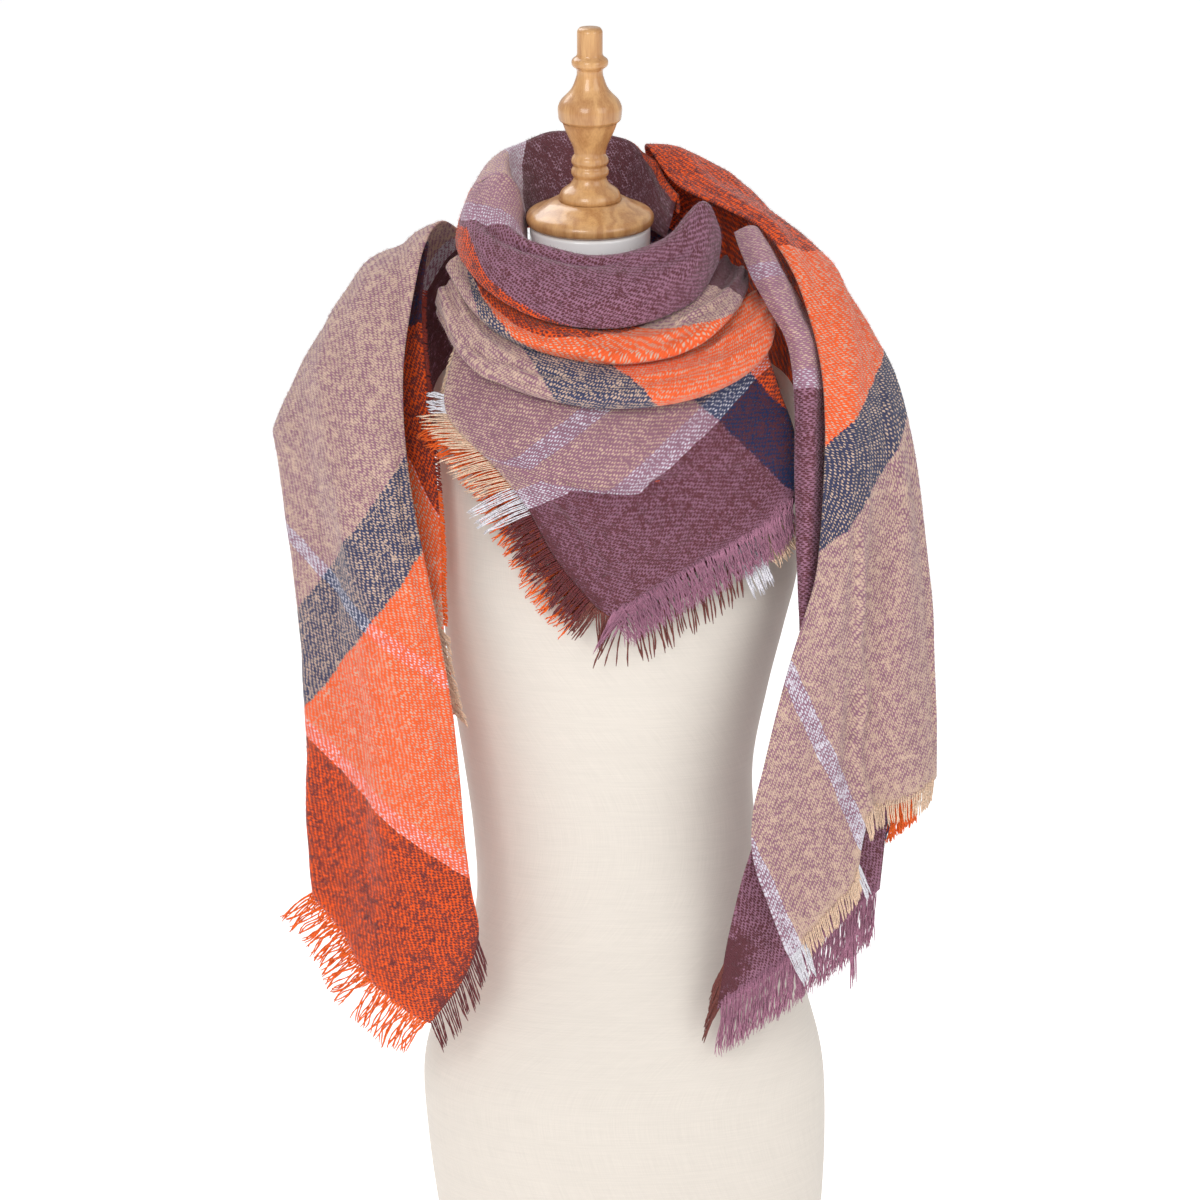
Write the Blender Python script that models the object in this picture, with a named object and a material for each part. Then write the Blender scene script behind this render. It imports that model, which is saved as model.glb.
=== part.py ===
"""A square plaid blanket scarf, folded to a triangle and wound round a limbless dress form.

Row frame: metres, +Z up, the front faces -Y, the origin is the middle of the form's flat underside.
Tables are in millimetres. Every stretch of the winding that shows is its own closed wall.
"""

import math
from collections import namedtuple

import bmesh
import bpy
import numpy as np

MM = 0.001
CLOTH = 3.2  # wall of the brushed two-ply twill
EDGE_GAP = 1.0  # from a cloth's edge to the backing of its fringe
STRAND = 3.4  # width of a fringe strand at its root
NECK_X = -32.0  # the neck's middle, left of the form's middle as it stands
GOLDEN = 0.618034  # steps of this share of a turn never fall into a pattern
DOWN = np.array([0.0, 0.0, -1.0])

# ---------------------------------------------------------------------------------------------
# sizes of the dress form
# ---------------------------------------------------------------------------------------------

Level = namedtuple("Level", "z left right front back")
TORSO = (
    Level(0, -171, 174, -104, 108),
    Level(22, -175, 178, -108, 113),
    Level(90, -183, 180, -112, 122),
    Level(160, -186, 177, -114, 126),
    Level(212, -172, 165, -109, 121),
    Level(262, -149, 147, -101, 106),
    Level(318, -137, 127, -94, 90),
    Level(380, -139, 114, -92, 78),
    Level(445, -147, 110, -95, 76),
    Level(515, -157, 122, -108, 82),
    Level(575, -163, 136, -124, 90),
    Level(625, -166, 147, -137.5, 95),
    Level(675, -166, 148, -131, 99),
    Level(725, -168, 147, -110, 101),
    Level(765, -172, 146, -88, 101),
    Level(793, -164, 134, -72, 94),
    Level(814, -138, 96, -62, 82),
    Level(830, -106, 48, -56, 68),
    Level(848, -88, 24, -53, 57),
    Level(868, -85, 17, -51, 51),
    Level(888, -84.5, 15.5, -50, 50),
    Level(905.7, -84.5, 15.5, -50, 50),
)
TURN_ANGLE = math.radians(165)  # how far a tail's outer edge turns back under it
LEAN_FROM = 830.0  # above this height the neck's sections lean over to meet its slanted top
TORSO_SIDES = 26
TORSO_LEVELS = 26

TILT = math.radians(7)  # the neck's flat top leans forward
NECK_TOP = (NECK_X - 2.5, 0.0, 906.0)
Ring = namedtuple("Ring", "height radius")
NECK_BAND = (Ring(0, 49.5), Ring(2, 51.5), Ring(16, 51.5), Ring(18, 49.5))
CAP = (Ring(0, 50), Ring(2, 54), Ring(8, 55), Ring(12, 52), Ring(17, 40), Ring(22, 31))
CAP_LIFT = 18.4
FINIAL = (
    Ring(0, 27), Ring(7, 25), Ring(13, 16.5), Ring(19, 13.5), Ring(22, 16), Ring(26, 16),
    Ring(29, 13.5), Ring(32, 16), Ring(36, 15.5), Ring(39, 13), Ring(46, 14.5), Ring(60, 21),
    Ring(67, 23.5), Ring(69, 26.5), Ring(79, 27.5), Ring(85, 25), Ring(95, 15), Ring(107, 11),
    Ring(112, 11), Ring(115, 15.5), Ring(120, 15.5), Ring(123, 10.8), Ring(144, 10.8), Ring(146.5, 9),
)
FINIAL_LIFT = 40.9
TURNED_SIDES = 18

# ---------------------------------------------------------------------------------------------
# sections of the scarf: one row to each section of a stretch
# ---------------------------------------------------------------------------------------------

# a hanging leaf runs from its inner edge to its outer one, with a bow between them
Leaf = namedtuple("Leaf", "inner outer bow turn")
LEFT_TAIL = (
    Leaf((-174, -120, 243), (-275, -80, 340), (0, -14, -8), 12),
    Leaf((-133, -125, 312), (-277, -80, 404), (0, -20, -6), 13),
    Leaf((-141, -126, 394), (-276, -78, 476), (0, -22, 0), 14),
    Leaf((-151, -126, 520), (-278, -72, 540), (0, -24, 0), 15),
    Leaf((-168, -123, 625), (-284, -64, 618), (0, -26, 0), 16),
    Leaf((-184, -116, 709), (-294, -50, 690), (0, -28, 4), 15),
    Leaf((-191, -104, 776), (-300, -35, 731), (0, -28, 10), 13),
    Leaf((-190, -84, 835), (-303, -20, 745), (-4, -24, 15), 9),
    Leaf((-181, -48, 885), (-304, -4, 749), (-9, -14, 20), 7),
    Leaf((-170, 0, 922), (-303, 14, 750), (-12, 2, 19), 5),
    Leaf((-152, 54, 912), (-299, 30, 738), (-12, 16, 20), 5),
    Leaf((-128, 103, 872), (-295, 46, 706), (-6, 32, 10), 6),
    Leaf((-108, 129.4, 806), (-291, 56, 656), (-2, 38, 0), 7),
    Leaf((-102, 139.4, 748), (-288, 62, 612), (0, 36, 0), 7),
)
LEFT_LEAF = (
    Leaf((-145.7, -90, 516), (-252.7, -58, 500), (0, -8, 0), 0),
    Leaf((-159.7, -95, 582), (-260.7, -50, 569), (0, -9, 0), 0),
    Leaf((-161.7, -90, 670), (-263.7, -40, 656), (0, -10, 0), 0),
    Leaf((-167.7, -74, 747), (-262.7, -22, 716), (0, -10, 0), 0),
    Leaf((-174.7, -60, 813), (-252.7, -6, 758), (-2, -8, 6), 0),
    Leaf((-178.7, -32, 858), (-232.7, 8, 806), (-4, -4, 8), 0),
    Leaf((-172.7, -5, 909), (-212.7, 18, 873), (-2, 0, 4), 0),
)
RIGHT_TAIL = (
    Leaf((137, -140, 311), (266, -55, 440), (0, -10, 0), 10),
    Leaf((104, -140, 409), (263, -55, 500), (0, -14, 0), 11),
    Leaf((111, -142, 471), (260, -52, 552), (0, -17, 0), 12),
    Leaf((124, -142, 533), (258, -48, 596), (0, -20, 0), 12),
    Leaf((139, -141, 593), (254, -44, 641), (0, -22, 0), 12),
    Leaf((153, -140, 640), (249, -38, 688), (0, -24, 0), 12),
    Leaf((159, -137, 695), (242, -32, 735), (0, -24, 2), 12),
    Leaf((161, -131, 750), (235, -25, 768), (2, -22, 5), 11),
    Leaf((161, -120, 794), (229, -18, 790), (3, -20, 8), 10),
    Leaf((156, -103, 834), (222, -10, 806), (4, -16, 12), 8),
    Leaf((145, -80, 872), (215, 0, 818), (4, -12, 16), 7),
    Leaf((130, -44, 903), (209, 6, 824), (4, -6, 20), 6),
    Leaf((98, 4, 932), (204, 12, 827), (5, 2, 26), 5),
    Leaf((48.5, 50.5, 944), (201, 16, 827), (5, 12, 34), 5),
    Leaf((12.4, 112, 980), (199, 22, 824), (2, 24, 31), 5),
    Leaf((20, 134, 942), (197, 36, 810), (6, 36, 20), 5),
    Leaf((17, 146, 884), (194, 50, 780), (4, 40, 8), 6),
    Leaf((8, 149.8, 812), (190, 60, 732), (0, 40, 0), 7),
    Leaf((2, 154.8, 752), (187, 66, 684), (0, 38, 0), 7),
)
# the outer leaf of the right tail's hem hangs shorter
HEM_STEP = 0.50  # share of the hem that it starts at
HEM_STEP_LIFT = 46
HEM_STEP_END = 4
HEM_STEP_FADE = (1.0, 0.62, 0.3)  # how much of the lift each row of the grid takes
RIGHT_BACK_LEAF = (
    Leaf((76, -116, 254), (219, -72, 349), (0, -6, -4), 0),
    Leaf((90, -116, 343), (223.7, -66, 403), (0, -7, 0), 0),
    Leaf((107, -113, 405), (226.7, -57, 464), (0, -8, 0), 0),
    Leaf((130, -108, 498), (229.7, -47, 542), (0, -8, 0), 0),
    Leaf((146, -103, 576), (226, -37, 603), (0, -8, 0), 0),
)
RIGHT_UNDER_LEAF = (
    Leaf((226, -54.9, 412), (253.4, -38.8, 430), (0, -2, 0), 0),
    Leaf((227, -49.9, 480), (250.6, -35, 492), (0, -2, 0), 0),
    Leaf((229.4, -44.9, 540), (243, -36.7, 544), (0, -2, 0), 0),
)
# the narrow rolled fold beside the right tail's inner edge
RIGHT_ROLL = (
    Leaf((88.7, -8, 918), (110.7, 0, 910), (6, -12, 10), 0),
    Leaf((98.7, -52, 895), (130.7, -38, 884), (4, -16, 11), 0),
    Leaf((111.7, -78, 872), (145.7, -56, 860), (0, -18, 10), 0),
    Leaf((129.7, -97, 842), (158.7, -78, 832), (0, -18, 6), 0),
    Leaf((135.7, -111, 803), (164.7, -90, 795), (0, -18, 4), 0),
    Leaf((136.7, -120, 757), (167.7, -96, 750), (0, -18, 0), 0),
    Leaf((137.7, -124, 699), (167.7, -101, 697), (0, -17, 0), 0),
    Leaf((140.7, -124, 640), (162.7, -105, 638), (0, -12, 0), 0),
    Leaf((142.7, -122, 598), (154.7, -110, 596), (0, -6, 0), 0),
)

# a fold of the cowl hangs over the next one: where it shows from, its lower edge, how far it swells
# between them and how far its hidden start is tucked in
Fold = namedtuple("Fold", "upper lower swell tuck")
FOLD_RISE = 8.0
SECOND_FOLD = (
    Fold((-144, -27, 903), (-152, -36, 888), 6, 8),
    Fold((-119, -69, 877), (-128, -83, 860), 8, 12),
    Fold((-80, -106, 860), (-85, -121, 840), 10, 14),
    Fold((-26, -118, 854), (-26, -133, 830), 11, 15),
    Fold((20, -114, 855), (23, -130, 832), 11, 15),
    Fold((51, -94, 868), (64, -113, 848), 10, 14),
    Fold((70, -66, 882), (88, -84, 866), 10, 12),
    Fold((81, -38, 888), (96, -47, 876), 8, 7),
    Fold((86, -17, 892), (97, -22, 883), 6, 5),
)
THIRD_FOLD = (
    Fold((-149, -32, 883), (-160, -46, 850), 9, 10),
    Fold((-126, -82, 855), (-136, -98, 824), 12, 13),
    Fold((-84, -122, 835), (-88, -138, 806), 13, 15),
    Fold((-30, -137, 825), (-30, -153, 797), 12, 16),
    Fold((24, -135, 825), (27, -151, 799), 12, 17),
    Fold((67, -113, 835), (76, -130, 809), 12, 18),
    Fold((96, -86, 852), (108, -101, 827), 10, 16),
    Fold((107, -63, 864), (118, -73, 846), 7, 10),
    Fold((111, -45, 866), (121, -51, 853), 5, 6),
)

# the winding round the neck by its angle from the front, towards the right tail
Round = namedtuple("Round", "angle inside crest outside lower")
NECK_ROLL = (
    Round(104, (87, 892), (94, 908), (101, 901), (103, 891)),
    Round(92, (85, 899), (96, 923), (106, 910), (106, 897)),
    Round(78, (84, 905), (96, 934), (108, 916), (106, 900)),
    Round(66, (80, 915), (97, 948), (114, 925), (114, 898)),
    Round(44, (78, 897), (95, 927), (121, 905), (123, 875)),
    Round(20, (76, 882), (92, 915), (124, 890), (126, 861)),
    Round(0, (76, 880), (91, 913), (125, 886), (127, 858)),
    Round(-22, (74, 882), (90, 916), (122, 892), (125, 865)),
    Round(-44, (70, 890), (86, 924), (118, 906), (123, 881)),
    Round(-64, (63, 902), (76, 938), (112, 924), (120, 899)),
    Round(-84, (57, 914), (69, 951), (107, 940), (117, 912)),
    Round(-100, (58, 920), (71, 962), (103, 954), (116, 918)),
)
NECK_COLLAR = (
    Round(-101, (58, 920), (72, 963), (103, 955), (116, 917)),
    Round(-118, (60, 922), (84, 976), (106, 964), (120, 912)),
    Round(-138, (66, 922), (92, 983), (112, 966), (124, 906)),
    Round(-158, (70, 922), (102, 991), (124, 964), (132, 904)),
    Round(-180, (74, 920), (108, 988), (130, 958), (138, 900)),
    Round(-198, (78, 918), (110, 981), (130, 950), (138, 900)),
    Round(-208, (79, 916), (106, 970), (113, 960), (116, 940)),
    Round(-218, (80, 912), (98, 953), (101, 947), (101, 937)),
    Round(-232, (80, 905), (92, 940), (94, 934), (94, 925)),
)
BACK_DRAPE = (
    Round(-126, (104, 892), (114, 889), (136, 850), (144, 790)),
    Round(-148, (112, 890), (122, 887), (142, 842), (150, 764)),
    Round(-170, (120, 888), (130, 885), (147, 838), (154, 748)),
    Round(-192, (124, 884), (134, 881), (148, 836), (156, 746)),
    Round(-212, (124, 880), (134, 877), (146, 836), (152, 756)),
)

# the bib hangs from the cowl in a point: left edge, middle and right edge of each section,
# and how far its quarters stand forward and hang down from the straight
Bib = namedtuple("Bib", "left middle right forward drop")
BIB_FRONT = (
    Bib((-143.6, -71, 842), (-26, -139.4, 808), (112, -84, 832), 13, 8),
    Bib((-155, -97.5, 786), (-26, -160, 748), (134, -103, 772), 14, 4),
    Bib((-122, -122, 752), (-20, -164, 708), (137, -108, 726), 10, 0),
    Bib((-88, -139, 712), (-6, -160, 672), (124, -122, 698), 5, 0),
    Bib((-62, -144, 666), (-2, -152, 646), (60, -144, 664), 2, 0),
    Bib((-28, -144.3, 624), (-18, -145.3, 618), (-6, -144.3, 623), 0, 0),
)
BIB_BACK_STEP = (2, 7.3, -5)

# soft folds pressed into a stretch: from and to, as shares of its length and width, height and reach
Crease = namedtuple("Crease", "along across to_along to_across height reach")
LEFT_CREASES = (
    Crease(0.05, 0.30, 0.62, 0.30, 7, 0.10),
    Crease(0.00, 0.55, 0.50, 0.52, -7, 0.10),
    Crease(0.45, 0.10, 0.62, 0.60, 6, 0.08),
)
RIGHT_CREASES = (
    Crease(0.00, 0.44, 0.30, 0.42, 11, 0.07),
    Crease(0.00, 0.58, 0.32, 0.56, -7, 0.07),
    Crease(0.30, 0.16, 0.48, 0.18, -5, 0.08),
)
BIB_CREASES = (
    Crease(0.36, 0.05, 0.48, 0.50, 5, 0.10),
    Crease(0.12, 0.30, 0.25, 0.80, 4, 0.08),
    Crease(0.40, 0.62, 0.15, 0.95, -5, 0.09),
)

# how finely each stretch is lofted: points across it, points along it, points round its turned edge
Mesh = namedtuple("Mesh", "across along turned")
LEFT_TAIL_MESH = Mesh(9, 21, 4)
LEFT_LEAF_MESH = Mesh(6, 9, 0)
RIGHT_TAIL_MESH = Mesh(10, 25, 4)
RIGHT_BACK_MESH = Mesh(7, 7, 0)
RIGHT_UNDER_MESH = Mesh(4, 4, 0)
RIGHT_ROLL_MESH = Mesh(6, 13, 0)
SECOND_FOLD_MESH = Mesh(7, 17, 0)
THIRD_FOLD_MESH = Mesh(7, 18, 0)
NECK_ROLL_MESH = Mesh(8, 23, 0)
NECK_COLLAR_MESH = Mesh(8, 14, 0)
BACK_DRAPE_MESH = Mesh(7, 11, 0)
BIB_MESH = Mesh(15, 14, 0)

# self-fringe: which rim it hangs from and between which shares of it, the strands, their length, how
# far they bend from the cloth's own direction to straight down, and the bare run at each end
Fringe = namedtuple("Fringe", "rim start end strands length hang trim")
FRINGES = {
    "fringe_bib_left": Fringe("left", 0.23, 0.97, 17, 42, 0.35, 3.0),
    "fringe_bib_right": Fringe("right", 0.46, 0.94, 13, 30, 0.58, 3.0),
    "fringe_bib_left_back": Fringe("left", 0.24, 0.93, 14, 46, 0.33, 3.0),
    "fringe_bib_right_back": Fringe("right", 0.44, 0.90, 13, 40, 0.65, 3.0),
    "fringe_left_tail": Fringe("first", 0.03, 0.80, 15, 30, 0.35, 3.0),
    "fringe_left_corner": Fringe("left", 0.01, 0.085, 8, 28, 0.60, 3.0),
    "fringe_left_leaf": Fringe("left", 0.01, 0.17, 6, 17, 0.60, 3.0),
    "fringe_right_hem": Fringe("first", 0.01, 0.385, 11, 20, 0.70, 3.0),
    "fringe_right_hem_outer": Fringe("first", 0.56, 0.84, 9, 14, 0.70, 3.0),
    "fringe_right_back": Fringe("first", 0.03, 0.97, 13, 42, 0.75, 3.0),
    "fringe_right_back_tip": Fringe("left", 0.02, 0.24, 7, 32, 0.55, 3.0),
    "fringe_right_under": Fringe("first", 0.05, 0.95, 4, 26, 0.80, 1.5),
}
SWAY_PERIOD = 5.3  # strands lean to one side and back in this many
BACKING_THICK = CLOTH * 0.42  # half the thickness of the strip that the strands share
BACKING_TALL = 4.0

# ---------------------------------------------------------------------------------------------
# lines, lofts and walls
# ---------------------------------------------------------------------------------------------


def spline(points, count):
    """Even points on the smooth line through the given ones."""
    points = np.asarray(points, float)
    ends = np.vstack([2 * points[0] - points[1], points, 2 * points[-1] - points[-2]])
    fine = []
    for k in range(len(points) - 1):
        a, b, c, d = ends[k : k + 4]
        for t in np.linspace(0, 1, 14, endpoint=False):
            fine.append(
                b
                + 0.5 * (c - a) * t
                + (a - 2.5 * b + 2 * c - 0.5 * d) * t**2
                + 0.5 * (3 * b - a - 3 * c + d) * t**3
            )
    fine.append(points[-1])
    fine = np.array(fine)
    run = np.concatenate([[0], np.cumsum(np.linalg.norm(np.diff(fine, axis=0), axis=1))])
    where = np.linspace(0, run[-1], count)
    return np.stack([np.interp(where, run, fine[:, k]) for k in range(fine.shape[1])], 1)


def loft(curves, along):
    """A grid of points through a row of curves that all have as many points."""
    curves = np.asarray(curves, float)
    return spline(curves.reshape(len(curves), -1), along).reshape(along, curves.shape[1], 3)


def normals(grid):
    down = np.gradient(grid, axis=0)
    over = np.gradient(grid, axis=1)
    n = np.cross(down, over)
    return n / np.maximum(np.linalg.norm(n, axis=2, keepdims=True), 1e-9)


def leaf_curve(leaf, across):
    """One section of a hanging leaf, bowed between its edges."""
    inner, outer, bow = (np.array(v, float) for v in (leaf.inner, leaf.outer, leaf.bow))
    t = np.linspace(0, 1, across)[:, None]
    return inner + (outer - inner) * t + bow * np.sin(math.pi * t**0.88) ** 0.85


def turn_edge(grid, radii, count):
    """Turns the last rim of a grid back under it, along a half round of the given radii."""
    out = grid[:, -1] - grid[:, -2]
    out /= np.linalg.norm(out, axis=1, keepdims=True)
    back = normals(grid)[:, -1]
    if back[0, 1] < 0:
        back = -back
    hooks = []
    for angle in np.linspace(0, TURN_ANGLE, count + 1)[1:]:
        hooks.append(grid[:, -1] + radii[:, None] * (math.sin(angle) * out + (1 - math.cos(angle)) * back))
    return np.concatenate([grid, np.stack(hooks, 1)], 1)


def leaf_grid(rows, mesh):
    curves = [leaf_curve(row, mesh.across) for row in rows]
    if not mesh.turned:
        return loft(curves, mesh.along)
    # the radii ride along as one more point of each section
    carried = [np.vstack([curve, [row.turn, 0, 0]]) for curve, row in zip(curves, rows)]
    grid = loft(carried, mesh.along)
    return turn_edge(grid[:, :-1], grid[:, -1, 0], mesh.turned)


def fold_curve(fold, across):
    """One section of a fold of the cowl: tucked in above, swelling out, hanging free below."""
    upper, lower = np.array(fold.upper, float), np.array(fold.lower, float)
    out = (upper + lower) / 2 - np.array([NECK_X, 0, 0])
    out[2] = 0
    out /= np.linalg.norm(out)
    ring = [
        upper - out * fold.tuck + np.array([0, 0, FOLD_RISE]),
        upper,
        (upper * 2 + lower) / 3 + out * fold.swell * 0.9,
        (upper + lower * 2) / 3 + out * fold.swell,
        lower,
    ]
    return spline(ring, across)


def fold_grid(rows, mesh):
    return loft([fold_curve(row, mesh.across) for row in rows], mesh.along)


def round_curve(row, across):
    """One section of a winding, by radius and height: up the inside, over the crest, down the outside."""
    angle = math.radians(row.angle)
    out = np.array([math.sin(angle), -math.cos(angle), 0.0])
    points = []
    for radius, height in (row.inside, row.crest, row.outside, row.lower):
        points.append(np.array([NECK_X, 0, height]) + out * radius)
    return spline(points, across)


def round_grid(rows, mesh):
    return loft([round_curve(row, mesh.across) for row in rows], mesh.along)


def bib_curve(row, across):
    left, middle, right = (np.array(v, float) for v in (row.left, row.middle, row.right))
    sag = np.array([0, -row.forward, -row.drop], float)
    return spline([left, (left + middle) / 2 + sag, middle, (middle + right) / 2 + sag, right], across)


def bib_grid(rows, mesh):
    return loft([bib_curve(row, mesh.across) for row in rows], mesh.along)


def crease(grid, lines):
    """Presses soft folds into a grid, along its normals."""
    rows, cols = grid.shape[:2]
    s, t = np.meshgrid(np.linspace(0, 1, rows), np.linspace(0, 1, cols), indexing="ij")
    high = np.zeros((rows, cols))
    for line in lines:
        ds = line.to_along - line.along
        dt = line.to_across - line.across
        share = ((s - line.along) * ds + (t - line.across) * dt) / (ds * ds + dt * dt)
        share = np.clip(share, 0, 1)
        away = np.hypot(s - line.along - share * ds, t - line.across - share * dt)
        high += line.height * np.exp(-((away / line.reach) ** 2))
    return grid + normals(grid) * high[:, :, None]


def step_hem(grid, mesh):
    """Shortens the outer part of a leaf's lower rim, so that its hem steps at a fold."""
    grid = grid.copy()
    share = np.linspace(0, 1, mesh.across)
    past = (share - HEM_STEP) / (1 - HEM_STEP)
    up = np.where(past > 0, HEM_STEP_LIFT + (HEM_STEP_END - HEM_STEP_LIFT) * past, 0)
    up = np.concatenate([up, np.full(mesh.turned, HEM_STEP_END)])
    for row, part in enumerate(HEM_STEP_FADE):
        grid[row, :, 2] += up * part
    return grid


def principled(name, color, roughness, sheen=0.0):
    material = bpy.data.materials.new(name)
    material.use_nodes = True
    shader = material.node_tree.nodes["Principled BSDF"]
    shader.inputs["Base Color"].default_value = (*color, 1)
    shader.inputs["Roughness"].default_value = roughness
    shader.inputs["Sheen Weight"].default_value = sheen
    return material


def solid(name, points, faces, look):
    """A closed body of its own, in the scene, from millimetres."""
    mesh = bpy.data.meshes.new(name)
    mesh.from_pydata([tuple(p) for p in np.asarray(points, float) * MM], [], faces)
    made = bmesh.new()
    made.from_mesh(mesh)
    bmesh.ops.recalc_face_normals(made, faces=made.faces)
    made.to_mesh(mesh)
    made.free()
    mesh.materials.append(look)
    body = bpy.data.objects.new(name, mesh)
    bpy.context.scene.collection.objects.link(body)
    return body


def wall(name, grid, look, thickness=CLOTH):
    """A closed cloth wall with the grid as its middle layer."""
    rows, cols = grid.shape[:2]
    n = normals(grid) * thickness / 2
    points = np.vstack([(grid + n).reshape(-1, 3), (grid - n).reshape(-1, 3)])
    half = rows * cols
    faces = []
    for i in range(rows - 1):
        for j in range(cols - 1):
            a = i * cols + j
            for face in ((a, a + 1, a + cols + 1), (a, a + cols + 1, a + cols)):
                faces.append(face)
                faces.append(tuple(v + half for v in reversed(face)))
    rim = list(range(cols))
    rim += [i * cols + cols - 1 for i in range(1, rows)]
    rim += [(rows - 1) * cols + j for j in range(cols - 2, -1, -1)]
    rim += [i * cols for i in range(rows - 2, 0, -1)]
    for a, b in zip(rim, rim[1:] + rim[:1]):
        faces.append((b, a, a + half, b + half))
    return solid(name, points, faces, look)


def closed_rings(name, rings, look):
    """A closed body through a stack of rings, with a flat face at both ends."""
    rings = np.asarray(rings, float)
    count, sides = rings.shape[:2]
    faces = [tuple(range(sides - 1, -1, -1))]
    for i in range(count - 1):
        for j in range(sides):
            a, b = i * sides + j, i * sides + (j + 1) % sides
            faces.append((a, b, b + sides, a + sides))
    faces.append(tuple(range((count - 1) * sides, count * sides)))
    return solid(name, rings.reshape(-1, 3), faces, look)


def torso_ring(level, angles):
    middle = (level.left + level.right) / 2
    half = (level.right - level.left) / 2
    ring = []
    for angle in angles:
        c, s = math.cos(angle), math.sin(angle)
        x = middle + half * math.copysign(abs(c) ** 0.94, c)
        depth = level.back if s > 0 else -level.front
        y = depth * math.copysign(abs(s) ** 0.94, s)
        lean = min(max((level.z - LEAN_FROM) / (TORSO[-1].z - LEAN_FROM), 0), 1)
        ring.append((x, y, level.z + y * math.tan(TILT) * lean))
    return ring


def turned(name, profile, foot, look, sides=TURNED_SIDES):
    """A turned piece on the neck's axis, which leans forward."""
    up = np.array([0, -math.sin(TILT), math.cos(TILT)])
    side = np.array([1.0, 0, 0])
    front = np.cross(up, side)
    rings = []
    for height, radius in profile:
        ring = []
        for k in range(sides):
            a = 2 * math.pi * k / sides
            ring.append(np.array(foot) + up * height + radius * (math.cos(a) * side + math.sin(a) * front))
        rings.append(ring)
    return closed_rings(name, rings, look)


# ---------------------------------------------------------------------------------------------
# fringes
# ---------------------------------------------------------------------------------------------


def rim_of(grid, side):
    """One rim of a grid, and the way off the cloth at each of its points."""
    if side == "first":
        return grid[0], grid[0] - grid[1]
    if side == "last":
        return grid[-1], grid[-1] - grid[-2]
    if side == "left":
        return grid[:, 0], grid[:, 0] - grid[:, 1]
    return grid[:, -1], grid[:, -1] - grid[:, -2]


def part_of(rim, start, end, count=16):
    """The stretch of a rim between two shares of its length, with the ways off it."""
    edge, leave = rim
    run = np.concatenate([[0], np.cumsum(np.linalg.norm(np.diff(edge, axis=0), axis=1))])
    where = np.linspace(start, end, count) * run[-1]
    edge = np.stack([np.interp(where, run, edge[:, c]) for c in range(3)], 1)
    leave = leave / np.linalg.norm(leave, axis=1, keepdims=True)
    leave = np.stack([np.interp(where, run, leave[:, c]) for c in range(3)], 1)
    return edge, leave


def fringe(name, grid, look):
    """Strands from one backing along a stretch of a cloth's rim."""
    row = FRINGES[name]
    edge, leave = part_of(rim_of(grid, row.rim), row.start, row.end)
    run = np.concatenate([[0], np.cumsum(np.linalg.norm(np.diff(edge, axis=0), axis=1))])
    pitch = (run[-1] - 2 * row.trim) / row.strands
    stops = []
    for k in range(row.strands):
        centre = row.trim + pitch * (k + 0.5)
        stops += [centre - STRAND / 2, centre + STRAND / 2]
    stops = np.array(stops)
    # neighbours lean less than the space between them, so that none crosses the next
    sway = 0.7 * (pitch - STRAND) / row.length

    def at(values, where):
        return np.stack([np.interp(where, run, values[:, c]) for c in range(3)], 1)

    middle = at(edge, stops)
    away = at(leave, stops)
    away /= np.linalg.norm(away, axis=1, keepdims=True)
    along = np.gradient(middle, axis=0)
    along /= np.linalg.norm(along, axis=1, keepdims=True)
    face = np.cross(along, away)
    face /= np.linalg.norm(face, axis=1, keepdims=True)
    away = np.cross(face, along)
    deep = face * BACKING_THICK
    top = middle + away * EDGE_GAP
    low = middle + away * (EDGE_GAP + BACKING_TALL)
    points = []
    for k in range(len(stops)):
        points += [top[k] + deep[k], top[k] - deep[k], low[k] - deep[k], low[k] + deep[k]]
    faces = [(0, 1, 2, 3)]
    last = 4 * (len(stops) - 1)
    faces.append((last + 3, last + 2, last + 1, last))
    for k in range(len(stops) - 1):
        a, b = 4 * k, 4 * k + 4
        faces += [(a, b, b + 1, a + 1), (a + 1, b + 1, b + 2, a + 2), (a + 3, b + 3, b, a)]
        if k % 2:
            faces.append((a + 2, b + 2, b + 3, a + 3))
            continue
        # the strand grows from the underside of this piece of the backing
        n = k // 2
        wave = math.sin(2 * math.pi * n / SWAY_PERIOD)
        reach = row.length * (0.82 + 0.22 * math.sin(2 * math.pi * GOLDEN * 1.7 * (n + 2)))
        centre = (low[k] + low[k + 1]) / 2
        way = away[k] * (1 - row.hang) + DOWN * row.hang + along[k] * sway * wave
        way /= np.linalg.norm(way)
        side = along[k] * STRAND / 2
        ring = [a + 2, b + 2, b + 3, a + 3]
        for part, size in ((0.5, 0.85), (1.0, 0.45)):
            spot = centre + way * reach * part + DOWN * reach * 0.12 * row.hang * part
            spot = spot + face[k] * 1.2 * wave * part
            first = len(points)
            points += [spot - (side + deep[k]) * size, spot + (side - deep[k]) * size]
            points += [spot + (side + deep[k]) * size, spot - (side - deep[k]) * size]
            new = [first, first + 1, first + 2, first + 3]
            for m in range(4):
                faces.append((ring[m], ring[(m + 1) % 4], new[(m + 1) % 4], new[m]))
            ring = new
        faces.append(tuple(ring))
    return solid(name, points, faces, look)


# ---------------------------------------------------------------------------------------------
# the part
# ---------------------------------------------------------------------------------------------


def clear_scene():
    for body in list(bpy.data.objects):
        bpy.data.objects.remove(body, do_unlink=True)


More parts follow.
